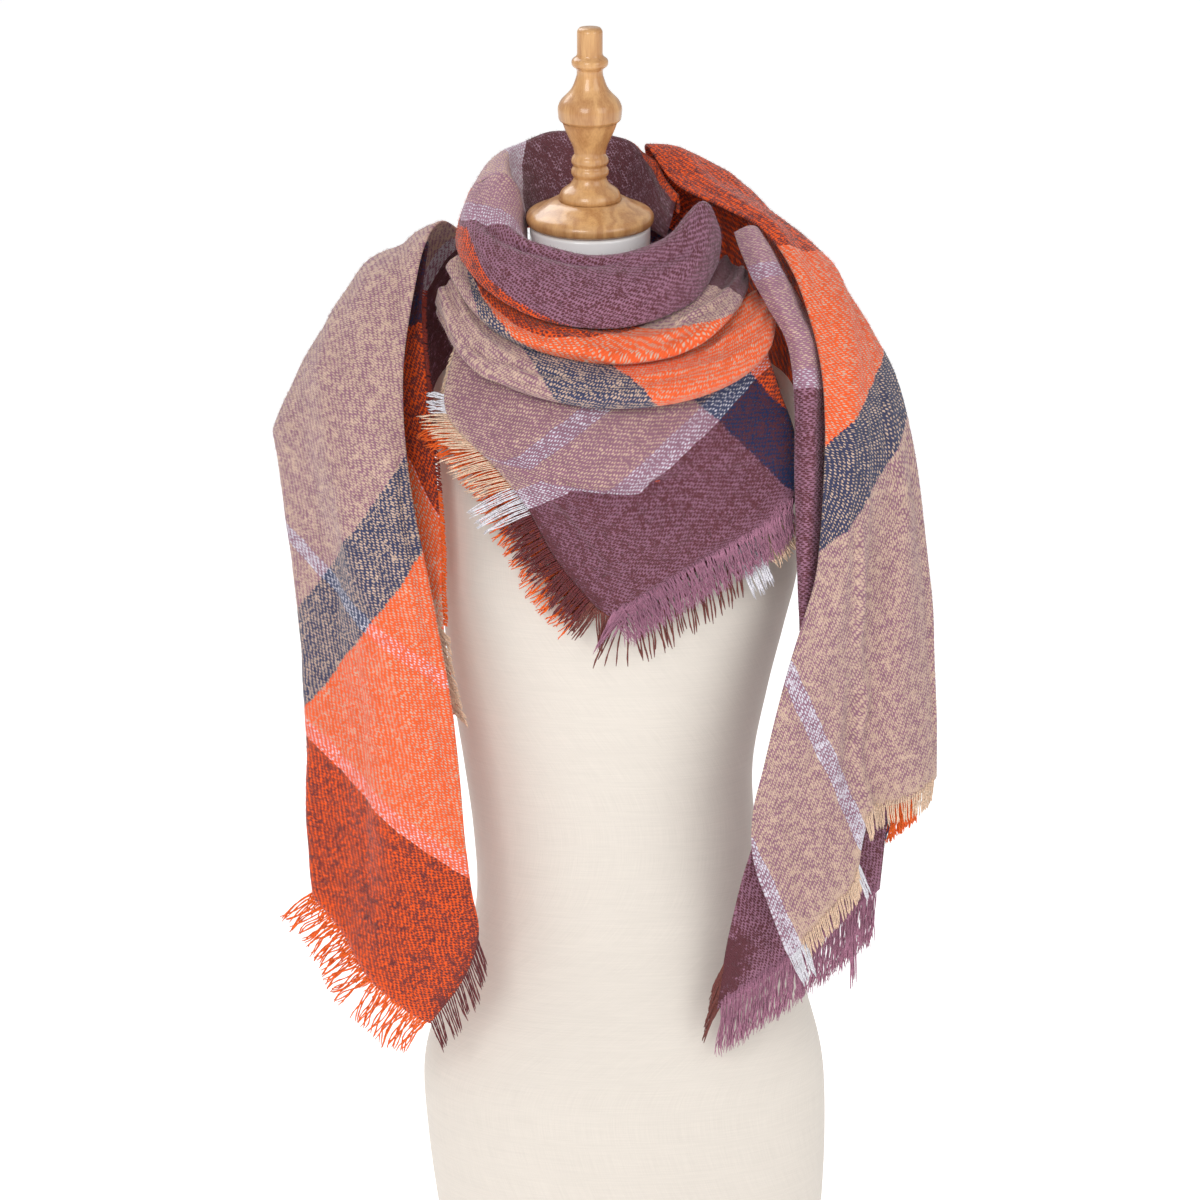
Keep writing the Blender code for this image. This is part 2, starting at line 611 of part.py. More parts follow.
def build_form():
    linen = principled("linen", (0.82, 0.78, 0.71), 0.85)
    gloss = principled("white_band", (0.92, 0.92, 0.92), 0.25)
    cap_wood = principled("cap_wood", (0.70, 0.43, 0.20), 0.4)
    finial_wood = principled("finial_wood", (0.72, 0.44, 0.20), 0.35)
    angles = np.linspace(0, 2 * math.pi, TORSO_SIDES, endpoint=False)
    rings = loft([torso_ring(level, angles) for level in TORSO], TORSO_LEVELS)
    closed_rings("form_torso", rings, linen)
    turned("form_neck_band", NECK_BAND, NECK_TOP, gloss)
    up = np.array([0, -math.sin(TILT), math.cos(TILT)])
    cap_foot = np.array(NECK_TOP) + up * CAP_LIFT
    turned("form_cap", CAP, cap_foot, cap_wood)
    finial_foot = np.array(NECK_TOP) + up * FINIAL_LIFT
    turned("form_finial", FINIAL, finial_foot, finial_wood)


def build_scarf():
    mauve = principled("mauve_plaid", (0.23, 0.12, 0.17), 0.95, 0.4)
    lilac = principled("lilac_plaid", (0.42, 0.28, 0.31), 0.95, 0.4)
    orange = principled("orange_plaid", (0.80, 0.19, 0.06), 0.95, 0.4)
    rust = principled("rust_plaid", (0.42, 0.09, 0.05), 0.95, 0.4)
    cream = principled("cream_yarn", (0.72, 0.53, 0.40), 0.95, 0.3)
    maroon = principled("maroon_yarn", (0.17, 0.05, 0.05), 0.95, 0.3)
    bright = principled("orange_yarn", (0.85, 0.20, 0.05), 0.95, 0.3)
    purple = principled("mauve_yarn", (0.38, 0.22, 0.34), 0.95, 0.3)

    wall("neck_roll", round_grid(NECK_ROLL, NECK_ROLL_MESH), mauve)
    wall("neck_collar", round_grid(NECK_COLLAR, NECK_COLLAR_MESH), lilac)
    wall("second_fold", fold_grid(SECOND_FOLD, SECOND_FOLD_MESH), orange)
    wall("third_fold", fold_grid(THIRD_FOLD, THIRD_FOLD_MESH), rust)
    wall("back_drape", round_grid(BACK_DRAPE, BACK_DRAPE_MESH), lilac)

    bib = crease(bib_grid(BIB_FRONT, BIB_MESH), BIB_CREASES)
    wall("bib_front", bib, lilac)
    fringe("fringe_bib_left", bib, cream)
    fringe("fringe_bib_right", bib, purple)
    behind = bib[1:, ::2] + np.array(BIB_BACK_STEP, float)
    wall("bib_back", behind, rust)
    fringe("fringe_bib_left_back", behind, bright)
    fringe("fringe_bib_right_back", behind, maroon)

    left = crease(leaf_grid(LEFT_TAIL, LEFT_TAIL_MESH), LEFT_CREASES)
    wall("left_tail", left, lilac)
    fringe("fringe_left_tail", left, bright)
    fringe("fringe_left_corner", left, maroon)
    leaf = leaf_grid(LEFT_LEAF, LEFT_LEAF_MESH)
    wall("left_leaf", leaf, rust)
    fringe("fringe_left_leaf", leaf, cream)

    right = crease(leaf_grid(RIGHT_TAIL, RIGHT_TAIL_MESH), RIGHT_CREASES)
    right = step_hem(right, RIGHT_TAIL_MESH)
    wall("right_tail", right, orange)
    fringe("fringe_right_hem", right, cream)
    fringe("fringe_right_hem_outer", right, cream)
    wall("right_roll", leaf_grid(RIGHT_ROLL, RIGHT_ROLL_MESH), mauve)
    back = leaf_grid(RIGHT_BACK_LEAF, RIGHT_BACK_MESH)
    wall("right_back_leaf", back, mauve)
    fringe("fringe_right_back", back, purple)
    fringe("fringe_right_back_tip", back, maroon)
    under = leaf_grid(RIGHT_UNDER_LEAF, RIGHT_UNDER_MESH)
    wall("right_under_leaf", under, orange)
    fringe("fringe_right_under", under, bright)


clear_scene()
build_form()
build_scarf()
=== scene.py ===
"""The look of a plaid blanket scarf wound round a limbless dress form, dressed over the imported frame.

Row frame: metres, +Z up, the front faces -Y. Tables are in millimetres. The section tables, their meshes
and their lofts are the part's own, so every piece lies where its solid is. The form is rounder here, and
each stretch of cloth has more points, with creases, swells and a nap that its solid hasn't.
"""

import math
from collections import namedtuple

import bmesh
import bpy
import numpy as np
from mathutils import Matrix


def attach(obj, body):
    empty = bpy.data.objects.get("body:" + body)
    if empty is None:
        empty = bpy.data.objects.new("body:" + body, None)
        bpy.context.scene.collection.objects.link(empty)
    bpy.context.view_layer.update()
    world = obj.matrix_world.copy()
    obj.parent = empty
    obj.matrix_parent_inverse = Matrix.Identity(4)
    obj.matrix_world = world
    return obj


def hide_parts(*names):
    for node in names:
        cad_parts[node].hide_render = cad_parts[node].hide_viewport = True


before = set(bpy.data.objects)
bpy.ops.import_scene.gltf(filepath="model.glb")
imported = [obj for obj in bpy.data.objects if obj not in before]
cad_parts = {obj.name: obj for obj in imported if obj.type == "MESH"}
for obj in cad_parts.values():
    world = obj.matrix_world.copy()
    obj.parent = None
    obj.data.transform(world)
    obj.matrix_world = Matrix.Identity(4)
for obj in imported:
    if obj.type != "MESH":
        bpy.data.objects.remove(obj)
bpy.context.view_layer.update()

MM = 0.001
SHELL = 2.7  # how thick the brushed cloth looks
LIP = 0.42  # how far a rim stands out, as a share of that
NECK_X = -32.0
DOWN = np.array([0.0, 0.0, -1.0])
FINER = 6  # points of a piece for each point of its solid

# ---- sizes of the dress form ----

Level = namedtuple("Level", "z left right front back")
TORSO = (
    Level(0, -171, 174, -104, 108),
    Level(22, -175, 178, -108, 113),
    Level(90, -183, 180, -112, 122),
    Level(160, -186, 177, -114, 126),
    Level(212, -172, 165, -109, 121),
    Level(262, -149, 147, -101, 106),
    Level(318, -137, 127, -94, 90),
    Level(380, -139, 114, -92, 78),
    Level(445, -147, 110, -95, 76),
    Level(515, -157, 122, -108, 82),
    Level(575, -163, 136, -124, 90),
    Level(625, -166, 147, -137.5, 95),
    Level(675, -166, 148, -131, 99),
    Level(725, -168, 147, -110, 101),
    Level(765, -172, 146, -88, 101),
    Level(793, -164, 134, -72, 94),
    Level(814, -138, 96, -62, 82),
    Level(830, -106, 48, -56, 68),
    Level(848, -88, 24, -53, 57),
    Level(868, -85, 17, -51, 51),
    Level(888, -84.5, 15.5, -50, 50),
    Level(905.7, -84.5, 15.5, -50, 50),
)
TURN_ANGLE = math.radians(165)
LEAN_FROM = 830.0
TORSO_SIDES = 208
TORSO_LEVELS = 156
TORSO_SQUARE = 0.94  # 1 is an ellipse, and less is squarer
PRINCESS_SEAMS = (-152, -116, -27, 8, 42, 116, 152)  # degrees from the front, towards the right tail

TILT = math.radians(7)
NECK_UP = np.array([0, -math.sin(TILT), math.cos(TILT)])
NECK_TOP = (NECK_X - 2.5, 0.0, 906.0)
Ring = namedtuple("Ring", "height radius")
NECK_BAND = (Ring(0, 49.5), Ring(2, 51.5), Ring(16, 51.5), Ring(18, 49.5))
CAP = (Ring(0, 50), Ring(2, 54), Ring(8, 55), Ring(12, 52), Ring(17, 40), Ring(22, 31))
CAP_LIFT = 18.4
FINIAL = (
    Ring(0, 27), Ring(7, 25), Ring(13, 16.5), Ring(19, 13.5), Ring(22, 16), Ring(26, 16),
    Ring(29, 13.5), Ring(32, 16), Ring(36, 15.5), Ring(39, 13), Ring(46, 14.5), Ring(60, 21),
    Ring(67, 23.5), Ring(69, 26.5), Ring(79, 27.5), Ring(85, 25), Ring(95, 15), Ring(107, 11),
    Ring(112, 11), Ring(115, 15.5), Ring(120, 15.5), Ring(123, 10.8), Ring(144, 10.8), Ring(146.5, 9),
)
FINIAL_LIFT = 40.9
TURNED_SIDES = 72
CORNER_CUT = 0.42  # share of the shorter side that a turned corner loses

# ---- sections of the scarf, as in the part ----

Leaf = namedtuple("Leaf", "inner outer bow turn")
LEFT_TAIL = (
    Leaf((-174, -120, 243), (-275, -80, 340), (0, -14, -8), 12),
    Leaf((-133, -125, 312), (-277, -80, 404), (0, -20, -6), 13),
    Leaf((-141, -126, 394), (-276, -78, 476), (0, -22, 0), 14),
    Leaf((-151, -126, 520), (-278, -72, 540), (0, -24, 0), 15),
    Leaf((-168, -123, 625), (-284, -64, 618), (0, -26, 0), 16),
    Leaf((-184, -116, 709), (-294, -50, 690), (0, -28, 4), 15),
    Leaf((-191, -104, 776), (-300, -35, 731), (0, -28, 10), 13),
    Leaf((-190, -84, 835), (-303, -20, 745), (-4, -24, 15), 9),
    Leaf((-181, -48, 885), (-304, -4, 749), (-9, -14, 20), 7),
    Leaf((-170, 0, 922), (-303, 14, 750), (-12, 2, 19), 5),
    Leaf((-152, 54, 912), (-299, 30, 738), (-12, 16, 20), 5),
    Leaf((-128, 103, 872), (-295, 46, 706), (-6, 32, 10), 6),
    Leaf((-108, 129.4, 806), (-291, 56, 656), (-2, 38, 0), 7),
    Leaf((-102, 139.4, 748), (-288, 62, 612), (0, 36, 0), 7),
)
LEFT_LEAF = (
    Leaf((-145.7, -90, 516), (-252.7, -58, 500), (0, -8, 0), 0),
    Leaf((-159.7, -95, 582), (-260.7, -50, 569), (0, -9, 0), 0),
    Leaf((-161.7, -90, 670), (-263.7, -40, 656), (0, -10, 0), 0),
    Leaf((-167.7, -74, 747), (-262.7, -22, 716), (0, -10, 0), 0),
    Leaf((-174.7, -60, 813), (-252.7, -6, 758), (-2, -8, 6), 0),
    Leaf((-178.7, -32, 858), (-232.7, 8, 806), (-4, -4, 8), 0),
    Leaf((-172.7, -5, 909), (-212.7, 18, 873), (-2, 0, 4), 0),
)
RIGHT_TAIL = (
    Leaf((137, -140, 311), (266, -55, 440), (0, -10, 0), 10),
    Leaf((104, -140, 409), (263, -55, 500), (0, -14, 0), 11),
    Leaf((111, -142, 471), (260, -52, 552), (0, -17, 0), 12),
    Leaf((124, -142, 533), (258, -48, 596), (0, -20, 0), 12),
    Leaf((139, -141, 593), (254, -44, 641), (0, -22, 0), 12),
    Leaf((153, -140, 640), (249, -38, 688), (0, -24, 0), 12),
    Leaf((159, -137, 695), (242, -32, 735), (0, -24, 2), 12),
    Leaf((161, -131, 750), (235, -25, 768), (2, -22, 5), 11),
    Leaf((161, -120, 794), (229, -18, 790), (3, -20, 8), 10),
    Leaf((156, -103, 834), (222, -10, 806), (4, -16, 12), 8),
    Leaf((145, -80, 872), (215, 0, 818), (4, -12, 16), 7),
    Leaf((130, -44, 903), (209, 6, 824), (4, -6, 20), 6),
    Leaf((98, 4, 932), (204, 12, 827), (5, 2, 26), 5),
    Leaf((48.5, 50.5, 944), (201, 16, 827), (5, 12, 34), 5),
    Leaf((12.4, 112, 980), (199, 22, 824), (2, 24, 31), 5),
    Leaf((20, 134, 942), (197, 36, 810), (6, 36, 20), 5),
    Leaf((17, 146, 884), (194, 50, 780), (4, 40, 8), 6),
    Leaf((8, 149.8, 812), (190, 60, 732), (0, 40, 0), 7),
    Leaf((2, 154.8, 752), (187, 66, 684), (0, 38, 0), 7),
)
HEM_STEP = 0.50
HEM_STEP_LIFT = 46
HEM_STEP_END = 4
HEM_STEP_FADE = (1.0, 0.62, 0.3)
RIGHT_BACK_LEAF = (
    Leaf((76, -116, 254), (219, -72, 349), (0, -6, -4), 0),
    Leaf((90, -116, 343), (223.7, -66, 403), (0, -7, 0), 0),
    Leaf((107, -113, 405), (226.7, -57, 464), (0, -8, 0), 0),
    Leaf((130, -108, 498), (229.7, -47, 542), (0, -8, 0), 0),
    Leaf((146, -103, 576), (226, -37, 603), (0, -8, 0), 0),
)
RIGHT_UNDER_LEAF = (
    Leaf((226, -54.9, 412), (253.4, -38.8, 430), (0, -2, 0), 0),
    Leaf((227, -49.9, 480), (250.6, -35, 492), (0, -2, 0), 0),
    Leaf((229.4, -44.9, 540), (243, -36.7, 544), (0, -2, 0), 0),
)
RIGHT_ROLL = (
    Leaf((88.7, -8, 918), (110.7, 0, 910), (6, -12, 10), 0),
    Leaf((98.7, -52, 895), (130.7, -38, 884), (4, -16, 11), 0),
    Leaf((111.7, -78, 872), (145.7, -56, 860), (0, -18, 10), 0),
    Leaf((129.7, -97, 842), (158.7, -78, 832), (0, -18, 6), 0),
    Leaf((135.7, -111, 803), (164.7, -90, 795), (0, -18, 4), 0),
    Leaf((136.7, -120, 757), (167.7, -96, 750), (0, -18, 0), 0),
    Leaf((137.7, -124, 699), (167.7, -101, 697), (0, -17, 0), 0),
    Leaf((140.7, -124, 640), (162.7, -105, 638), (0, -12, 0), 0),
    Leaf((142.7, -122, 598), (154.7, -110, 596), (0, -6, 0), 0),
)

Fold = namedtuple("Fold", "upper lower swell tuck")
FOLD_RISE = 8.0
SECOND_FOLD = (
    Fold((-144, -27, 903), (-152, -36, 888), 6, 8),
    Fold((-119, -69, 877), (-128, -83, 860), 8, 12),
    Fold((-80, -106, 860), (-85, -121, 840), 10, 14),
    Fold((-26, -118, 854), (-26, -133, 830), 11, 15),
    Fold((20, -114, 855), (23, -130, 832), 11, 15),
    Fold((51, -94, 868), (64, -113, 848), 10, 14),
    Fold((70, -66, 882), (88, -84, 866), 10, 12),
    Fold((81, -38, 888), (96, -47, 876), 8, 7),
    Fold((86, -17, 892), (97, -22, 883), 6, 5),
)
THIRD_FOLD = (
    Fold((-149, -32, 883), (-160, -46, 850), 9, 10),
    Fold((-126, -82, 855), (-136, -98, 824), 12, 13),
    Fold((-84, -122, 835), (-88, -138, 806), 13, 15),
    Fold((-30, -137, 825), (-30, -153, 797), 12, 16),
    Fold((24, -135, 825), (27, -151, 799), 12, 17),
    Fold((67, -113, 835), (76, -130, 809), 12, 18),
    Fold((96, -86, 852), (108, -101, 827), 10, 16),
    Fold((107, -63, 864), (118, -73, 846), 7, 10),
    Fold((111, -45, 866), (121, -51, 853), 5, 6),
)

Round = namedtuple("Round", "angle inside crest outside lower")
NECK_ROLL = (
    Round(104, (87, 892), (94, 908), (101, 901), (103, 891)),
    Round(92, (85, 899), (96, 923), (106, 910), (106, 897)),
    Round(78, (84, 905), (96, 934), (108, 916), (106, 900)),
    Round(66, (80, 915), (97, 948), (114, 925), (114, 898)),
    Round(44, (78, 897), (95, 927), (121, 905), (123, 875)),
    Round(20, (76, 882), (92, 915), (124, 890), (126, 861)),
    Round(0, (76, 880), (91, 913), (125, 886), (127, 858)),
    Round(-22, (74, 882), (90, 916), (122, 892), (125, 865)),
    Round(-44, (70, 890), (86, 924), (118, 906), (123, 881)),
    Round(-64, (63, 902), (76, 938), (112, 924), (120, 899)),
    Round(-84, (57, 914), (69, 951), (107, 940), (117, 912)),
    Round(-100, (58, 920), (71, 962), (103, 954), (116, 918)),
)
NECK_COLLAR = (
    Round(-101, (58, 920), (72, 963), (103, 955), (116, 917)),
    Round(-118, (60, 922), (84, 976), (106, 964), (120, 912)),
    Round(-138, (66, 922), (92, 983), (112, 966), (124, 906)),
    Round(-158, (70, 922), (102, 991), (124, 964), (132, 904)),
    Round(-180, (74, 920), (108, 988), (130, 958), (138, 900)),
    Round(-198, (78, 918), (110, 981), (130, 950), (138, 900)),
    Round(-208, (79, 916), (106, 970), (113, 960), (116, 940)),
    Round(-218, (80, 912), (98, 953), (101, 947), (101, 937)),
    Round(-232, (80, 905), (92, 940), (94, 934), (94, 925)),
)
BACK_DRAPE = (
    Round(-126, (104, 892), (114, 889), (136, 850), (144, 790)),
    Round(-148, (112, 890), (122, 887), (142, 842), (150, 764)),
    Round(-170, (120, 888), (130, 885), (147, 838), (154, 748)),
    Round(-192, (124, 884), (134, 881), (148, 836), (156, 746)),
    Round(-212, (124, 880), (134, 877), (146, 836), (152, 756)),
)

Bib = namedtuple("Bib", "left middle right forward drop")
BIB_FRONT = (
    Bib((-143.6, -71, 842), (-26, -139.4, 808), (112, -84, 832), 13, 8),
    Bib((-155, -97.5, 786), (-26, -160, 748), (134, -103, 772), 14, 4),
    Bib((-122, -122, 752), (-20, -164, 708), (137, -108, 726), 10, 0),
    Bib((-88, -139, 712), (-6, -160, 672), (124, -122, 698), 5, 0),
    Bib((-62, -144, 666), (-2, -152, 646), (60, -144, 664), 2, 0),
    Bib((-28, -144.3, 624), (-18, -145.3, 618), (-6, -144.3, 623), 0, 0),
)
BIB_BACK_STEP = (2, 7.3, -5)

Crease = namedtuple("Crease", "along across to_along to_across height reach")
LEFT_CREASES = (
    Crease(0.05, 0.30, 0.62, 0.30, 7, 0.10),
    Crease(0.00, 0.55, 0.50, 0.52, -7, 0.10),
    Crease(0.45, 0.10, 0.62, 0.60, 6, 0.08),
)
RIGHT_CREASES = (
    Crease(0.00, 0.44, 0.30, 0.42, 11, 0.07),
    Crease(0.00, 0.58, 0.32, 0.56, -7, 0.07),
    Crease(0.30, 0.16, 0.48, 0.18, -5, 0.08),
)
BIB_CREASES = (
    Crease(0.36, 0.05, 0.48, 0.50, 5, 0.10),
    Crease(0.12, 0.30, 0.25, 0.80, 4, 0.08),
    Crease(0.40, 0.62, 0.15, 0.95, -5, 0.09),
)

Mesh = namedtuple("Mesh", "across along turned")
LEFT_TAIL_MESH = Mesh(9, 21, 4)
LEFT_LEAF_MESH = Mesh(6, 9, 0)
RIGHT_TAIL_MESH = Mesh(10, 25, 4)
RIGHT_BACK_MESH = Mesh(7, 7, 0)
RIGHT_UNDER_MESH = Mesh(4, 4, 0)
RIGHT_ROLL_MESH = Mesh(6, 13, 0)
SECOND_FOLD_MESH = Mesh(7, 17, 0)
THIRD_FOLD_MESH = Mesh(7, 18, 0)
NECK_ROLL_MESH = Mesh(8, 23, 0)
NECK_COLLAR_MESH = Mesh(8, 14, 0)
BACK_DRAPE_MESH = Mesh(7, 11, 0)
BIB_MESH = Mesh(15, 14, 0)

# ---- the look's own creases: from and to, as shares of a piece's length and width, height and reach ----

FINE_CREASES = {
    "left_tail": (
        Crease(0.26, 0.06, 0.50, 0.05, -2.4, 0.022),
        Crease(0.66, 0.05, 0.78, 0.14, -3.5, 0.030),
        Crease(0.64, 0.16, 0.80, 0.24, 2.5, 0.040),
        Crease(0.02, 0.12, 0.30, 0.20, 2.0, 0.035),
        Crease(0.10, 0.44, 0.34, 0.40, -1.8, 0.03),
        Crease(0.26, 0.14, 0.46, 0.32, 1.8, 0.04),
        Crease(0.40, 0.50, 0.58, 0.24, -2.0, 0.035),
        Crease(0.52, 0.08, 0.66, 0.44, 2.4, 0.03),
        Crease(0.60, 0.30, 0.78, 0.22, -2.2, 0.04),
        Crease(0.72, 0.50, 0.95, 0.36, 2.0, 0.045),
        Crease(0.76, 0.24, 1.00, 0.13, 6.0, 0.055),
        Crease(0.79, 0.36, 1.00, 0.31, -4.5, 0.045),
        Crease(0.80, 0.72, 1.00, 0.80, -5.5, 0.060),
        Crease(0.82, 0.48, 1.00, 0.55, 5.0, 0.050),
    ),
    "right_tail": (
        Crease(0.34, 0.26, 0.16, 0.43, -3.4, 0.020),
        Crease(0.16, 0.43, 0.00, 0.40, -3.8, 0.020),
        Crease(0.36, 0.20, 0.15, 0.37, 1.8, 0.030),
        Crease(0.15, 0.37, 0.00, 0.34, 1.8, 0.030),
        Crease(0.60, 0.04, 0.72, 0.10, -2.6, 0.025),
        Crease(0.55, 0.10, 0.70, 0.22, 2.2, 0.040),
        Crease(0.03, 0.10, 0.20, 0.26, 1.8, 0.03),
        Crease(0.10, 0.70, 0.36, 0.64, 2.2, 0.035),
        Crease(0.26, 0.34, 0.44, 0.30, -1.8, 0.03),
        Crease(0.34, 0.52, 0.56, 0.42, 2.0, 0.035),
        Crease(0.46, 0.16, 0.62, 0.40, -2.2, 0.035),
        Crease(0.56, 0.56, 0.74, 0.30, 2.2, 0.03),
        Crease(0.70, 0.20, 0.92, 0.46, -2.0, 0.04),
        Crease(0.74, 0.62, 1.00, 0.74, 6.0, 0.055),
        Crease(0.78, 0.32, 1.00, 0.22, -5.0, 0.050),
        Crease(0.84, 0.08, 1.00, 0.13, 4.5, 0.045),
        Crease(0.82, 0.44, 1.00, 0.47, 4.5, 0.045),
        Crease(0.86, 0.86, 1.00, 0.90, -4.0, 0.045),
    ),
    "bib_front": (
        Crease(0.34, 0.36, 0.33, 0.60, -3.2, 0.022),
        Crease(0.33, 0.60, 0.36, 0.84, -2.2, 0.030),
        Crease(0.29, 0.34, 0.28, 0.58, 1.8, 0.028),
        Crease(0.05, 0.20, 0.24, 0.44, 2.2, 0.05),
        Crease(0.10, 0.62, 0.30, 0.48, -2.0, 0.045),
        Crease(0.30, 0.20, 0.52, 0.36, -1.8, 0.04),
        Crease(0.28, 0.78, 0.55, 0.60, 2.0, 0.05),
        Crease(0.55, 0.30, 0.80, 0.46, 1.2, 0.05),
    ),
    "neck_roll": (
        Crease(0.86, 0.66, 0.71, 0.50, -4.2, 0.032),
        Crease(0.71, 0.50, 0.48, 0.45, -3.4, 0.035),
        Crease(0.82, 0.50, 0.62, 0.34, 2.6, 0.050),
        Crease(0.30, 0.60, 0.62, 0.44, -2.6, 0.05),
        Crease(0.48, 0.82, 0.80, 0.72, 2.0, 0.05),
        Crease(0.18, 0.50, 0.40, 0.76, 1.8, 0.06),
        Crease(0.74, 0.40, 0.98, 0.60, -1.8, 0.06),
    ),
    "neck_collar": (
        Crease(0.05, 0.30, 0.40, 0.52, -2.2, 0.06),
        Crease(0.30, 0.70, 0.72, 0.60, 2.2, 0.06),
        Crease(0.58, 0.34, 0.86, 0.50, -1.6, 0.05),
        Crease(0.34, 0.88, 0.94, 0.74, -4.0, 0.06),
    ),
    "second_fold": (
        Crease(0.38, 0.58, 0.52, 0.86, -3.0, 0.045),
        Crease(0.52, 0.86, 0.70, 0.92, -3.0, 0.045),
        Crease(0.70, 0.42, 0.97, 0.66, -3.4, 0.045),
        Crease(0.64, 0.66, 0.90, 0.36, 2.6, 0.050),
        Crease(0.12, 0.50, 0.44, 0.70, 1.8, 0.06),
        Crease(0.42, 0.44, 0.70, 0.62, -2.0, 0.05),
        Crease(0.66, 0.74, 0.92, 0.48, 1.6, 0.05),
    ),
    "third_fold": (
        Crease(0.02, 0.52, 0.24, 0.88, -4.5, 0.050),
        Crease(0.04, 0.80, 0.38, 0.56, 3.2, 0.055),
        Crease(0.04, 0.30, 0.26, 0.50, -3.0, 0.050),
        Crease(0.80, 0.28, 0.97, 0.52, -3.4, 0.045),
        Crease(0.10, 0.52, 0.36, 0.72, -1.8, 0.05),
        Crease(0.34, 0.80, 0.62, 0.56, 2.0, 0.05),
        Crease(0.62, 0.46, 0.88, 0.70, -2.2, 0.05),
    ),
    "back_drape": (
        Crease(0.08, 0.22, 0.50, 0.74, 5.0, 0.08),
        Crease(0.50, 0.74, 0.94, 0.30, 5.0, 0.08),
        Crease(0.16, 0.62, 0.46, 0.94, -3.5, 0.06),
        Crease(0.30, 0.30, 0.72, 0.36, -4.0, 0.07),
    ),
    "right_back_leaf": (
        Crease(0.00, 0.30, 0.60, 0.38, 2.0, 0.07),
        Crease(0.05, 0.72, 0.50, 0.62, -1.8, 0.06),
    ),
    "left_leaf": (
        Crease(0.00, 0.20, 0.70, 0.26, 1.6, 0.07),
    ),
    "right_roll": (
        Crease(0.20, 0.60, 0.60, 0.40, 1.4, 0.10),
    ),
}

# ---- yarns and the plaid ----

# a dyed yarn: its colour, and how much of the surface the cross yarns take where it lies
Yarn = namedtuple("Yarn", "color share")
LILAC = Yarn((0.290, 0.128, 0.195), 0.46)
LILAC_PAINTED_SHADE = Yarn((0.275, 0.118, 0.180), 0.26)  # a darker copy of the lilac, painted shade on the chest
LILAC_PAINTED_BRIGHT = Yarn((0.440, 0.260, 0.340), 0.42)  # a lighter copy of the lilac, painted light on the collar
LILAC_PAINTED_LIGHT = Yarn((0.345, 0.158, 0.237), 0.21)  # a lighter copy of the lilac with fewer cross yarns showing, painted light on the outer folds
NAVY = Yarn((0.009, 0.026, 0.100), 0.33)
# a darker copy of the navy with fewer cross yarns showing, painted shade on the chest and on the right tail
NAVY_PAINTED_SHADE = Yarn((0.007, 0.022, 0.090), 0.20)
ORANGE = Yarn((0.920, 0.105, 0.008), 0.23)
BEIGE = Yarn((0.620, 0.440, 0.335), 0.00)
MAROON = Yarn((0.095, 0.019, 0.024), 0.25)
WHITE = Yarn((0.700, 0.670, 0.750), -0.05)

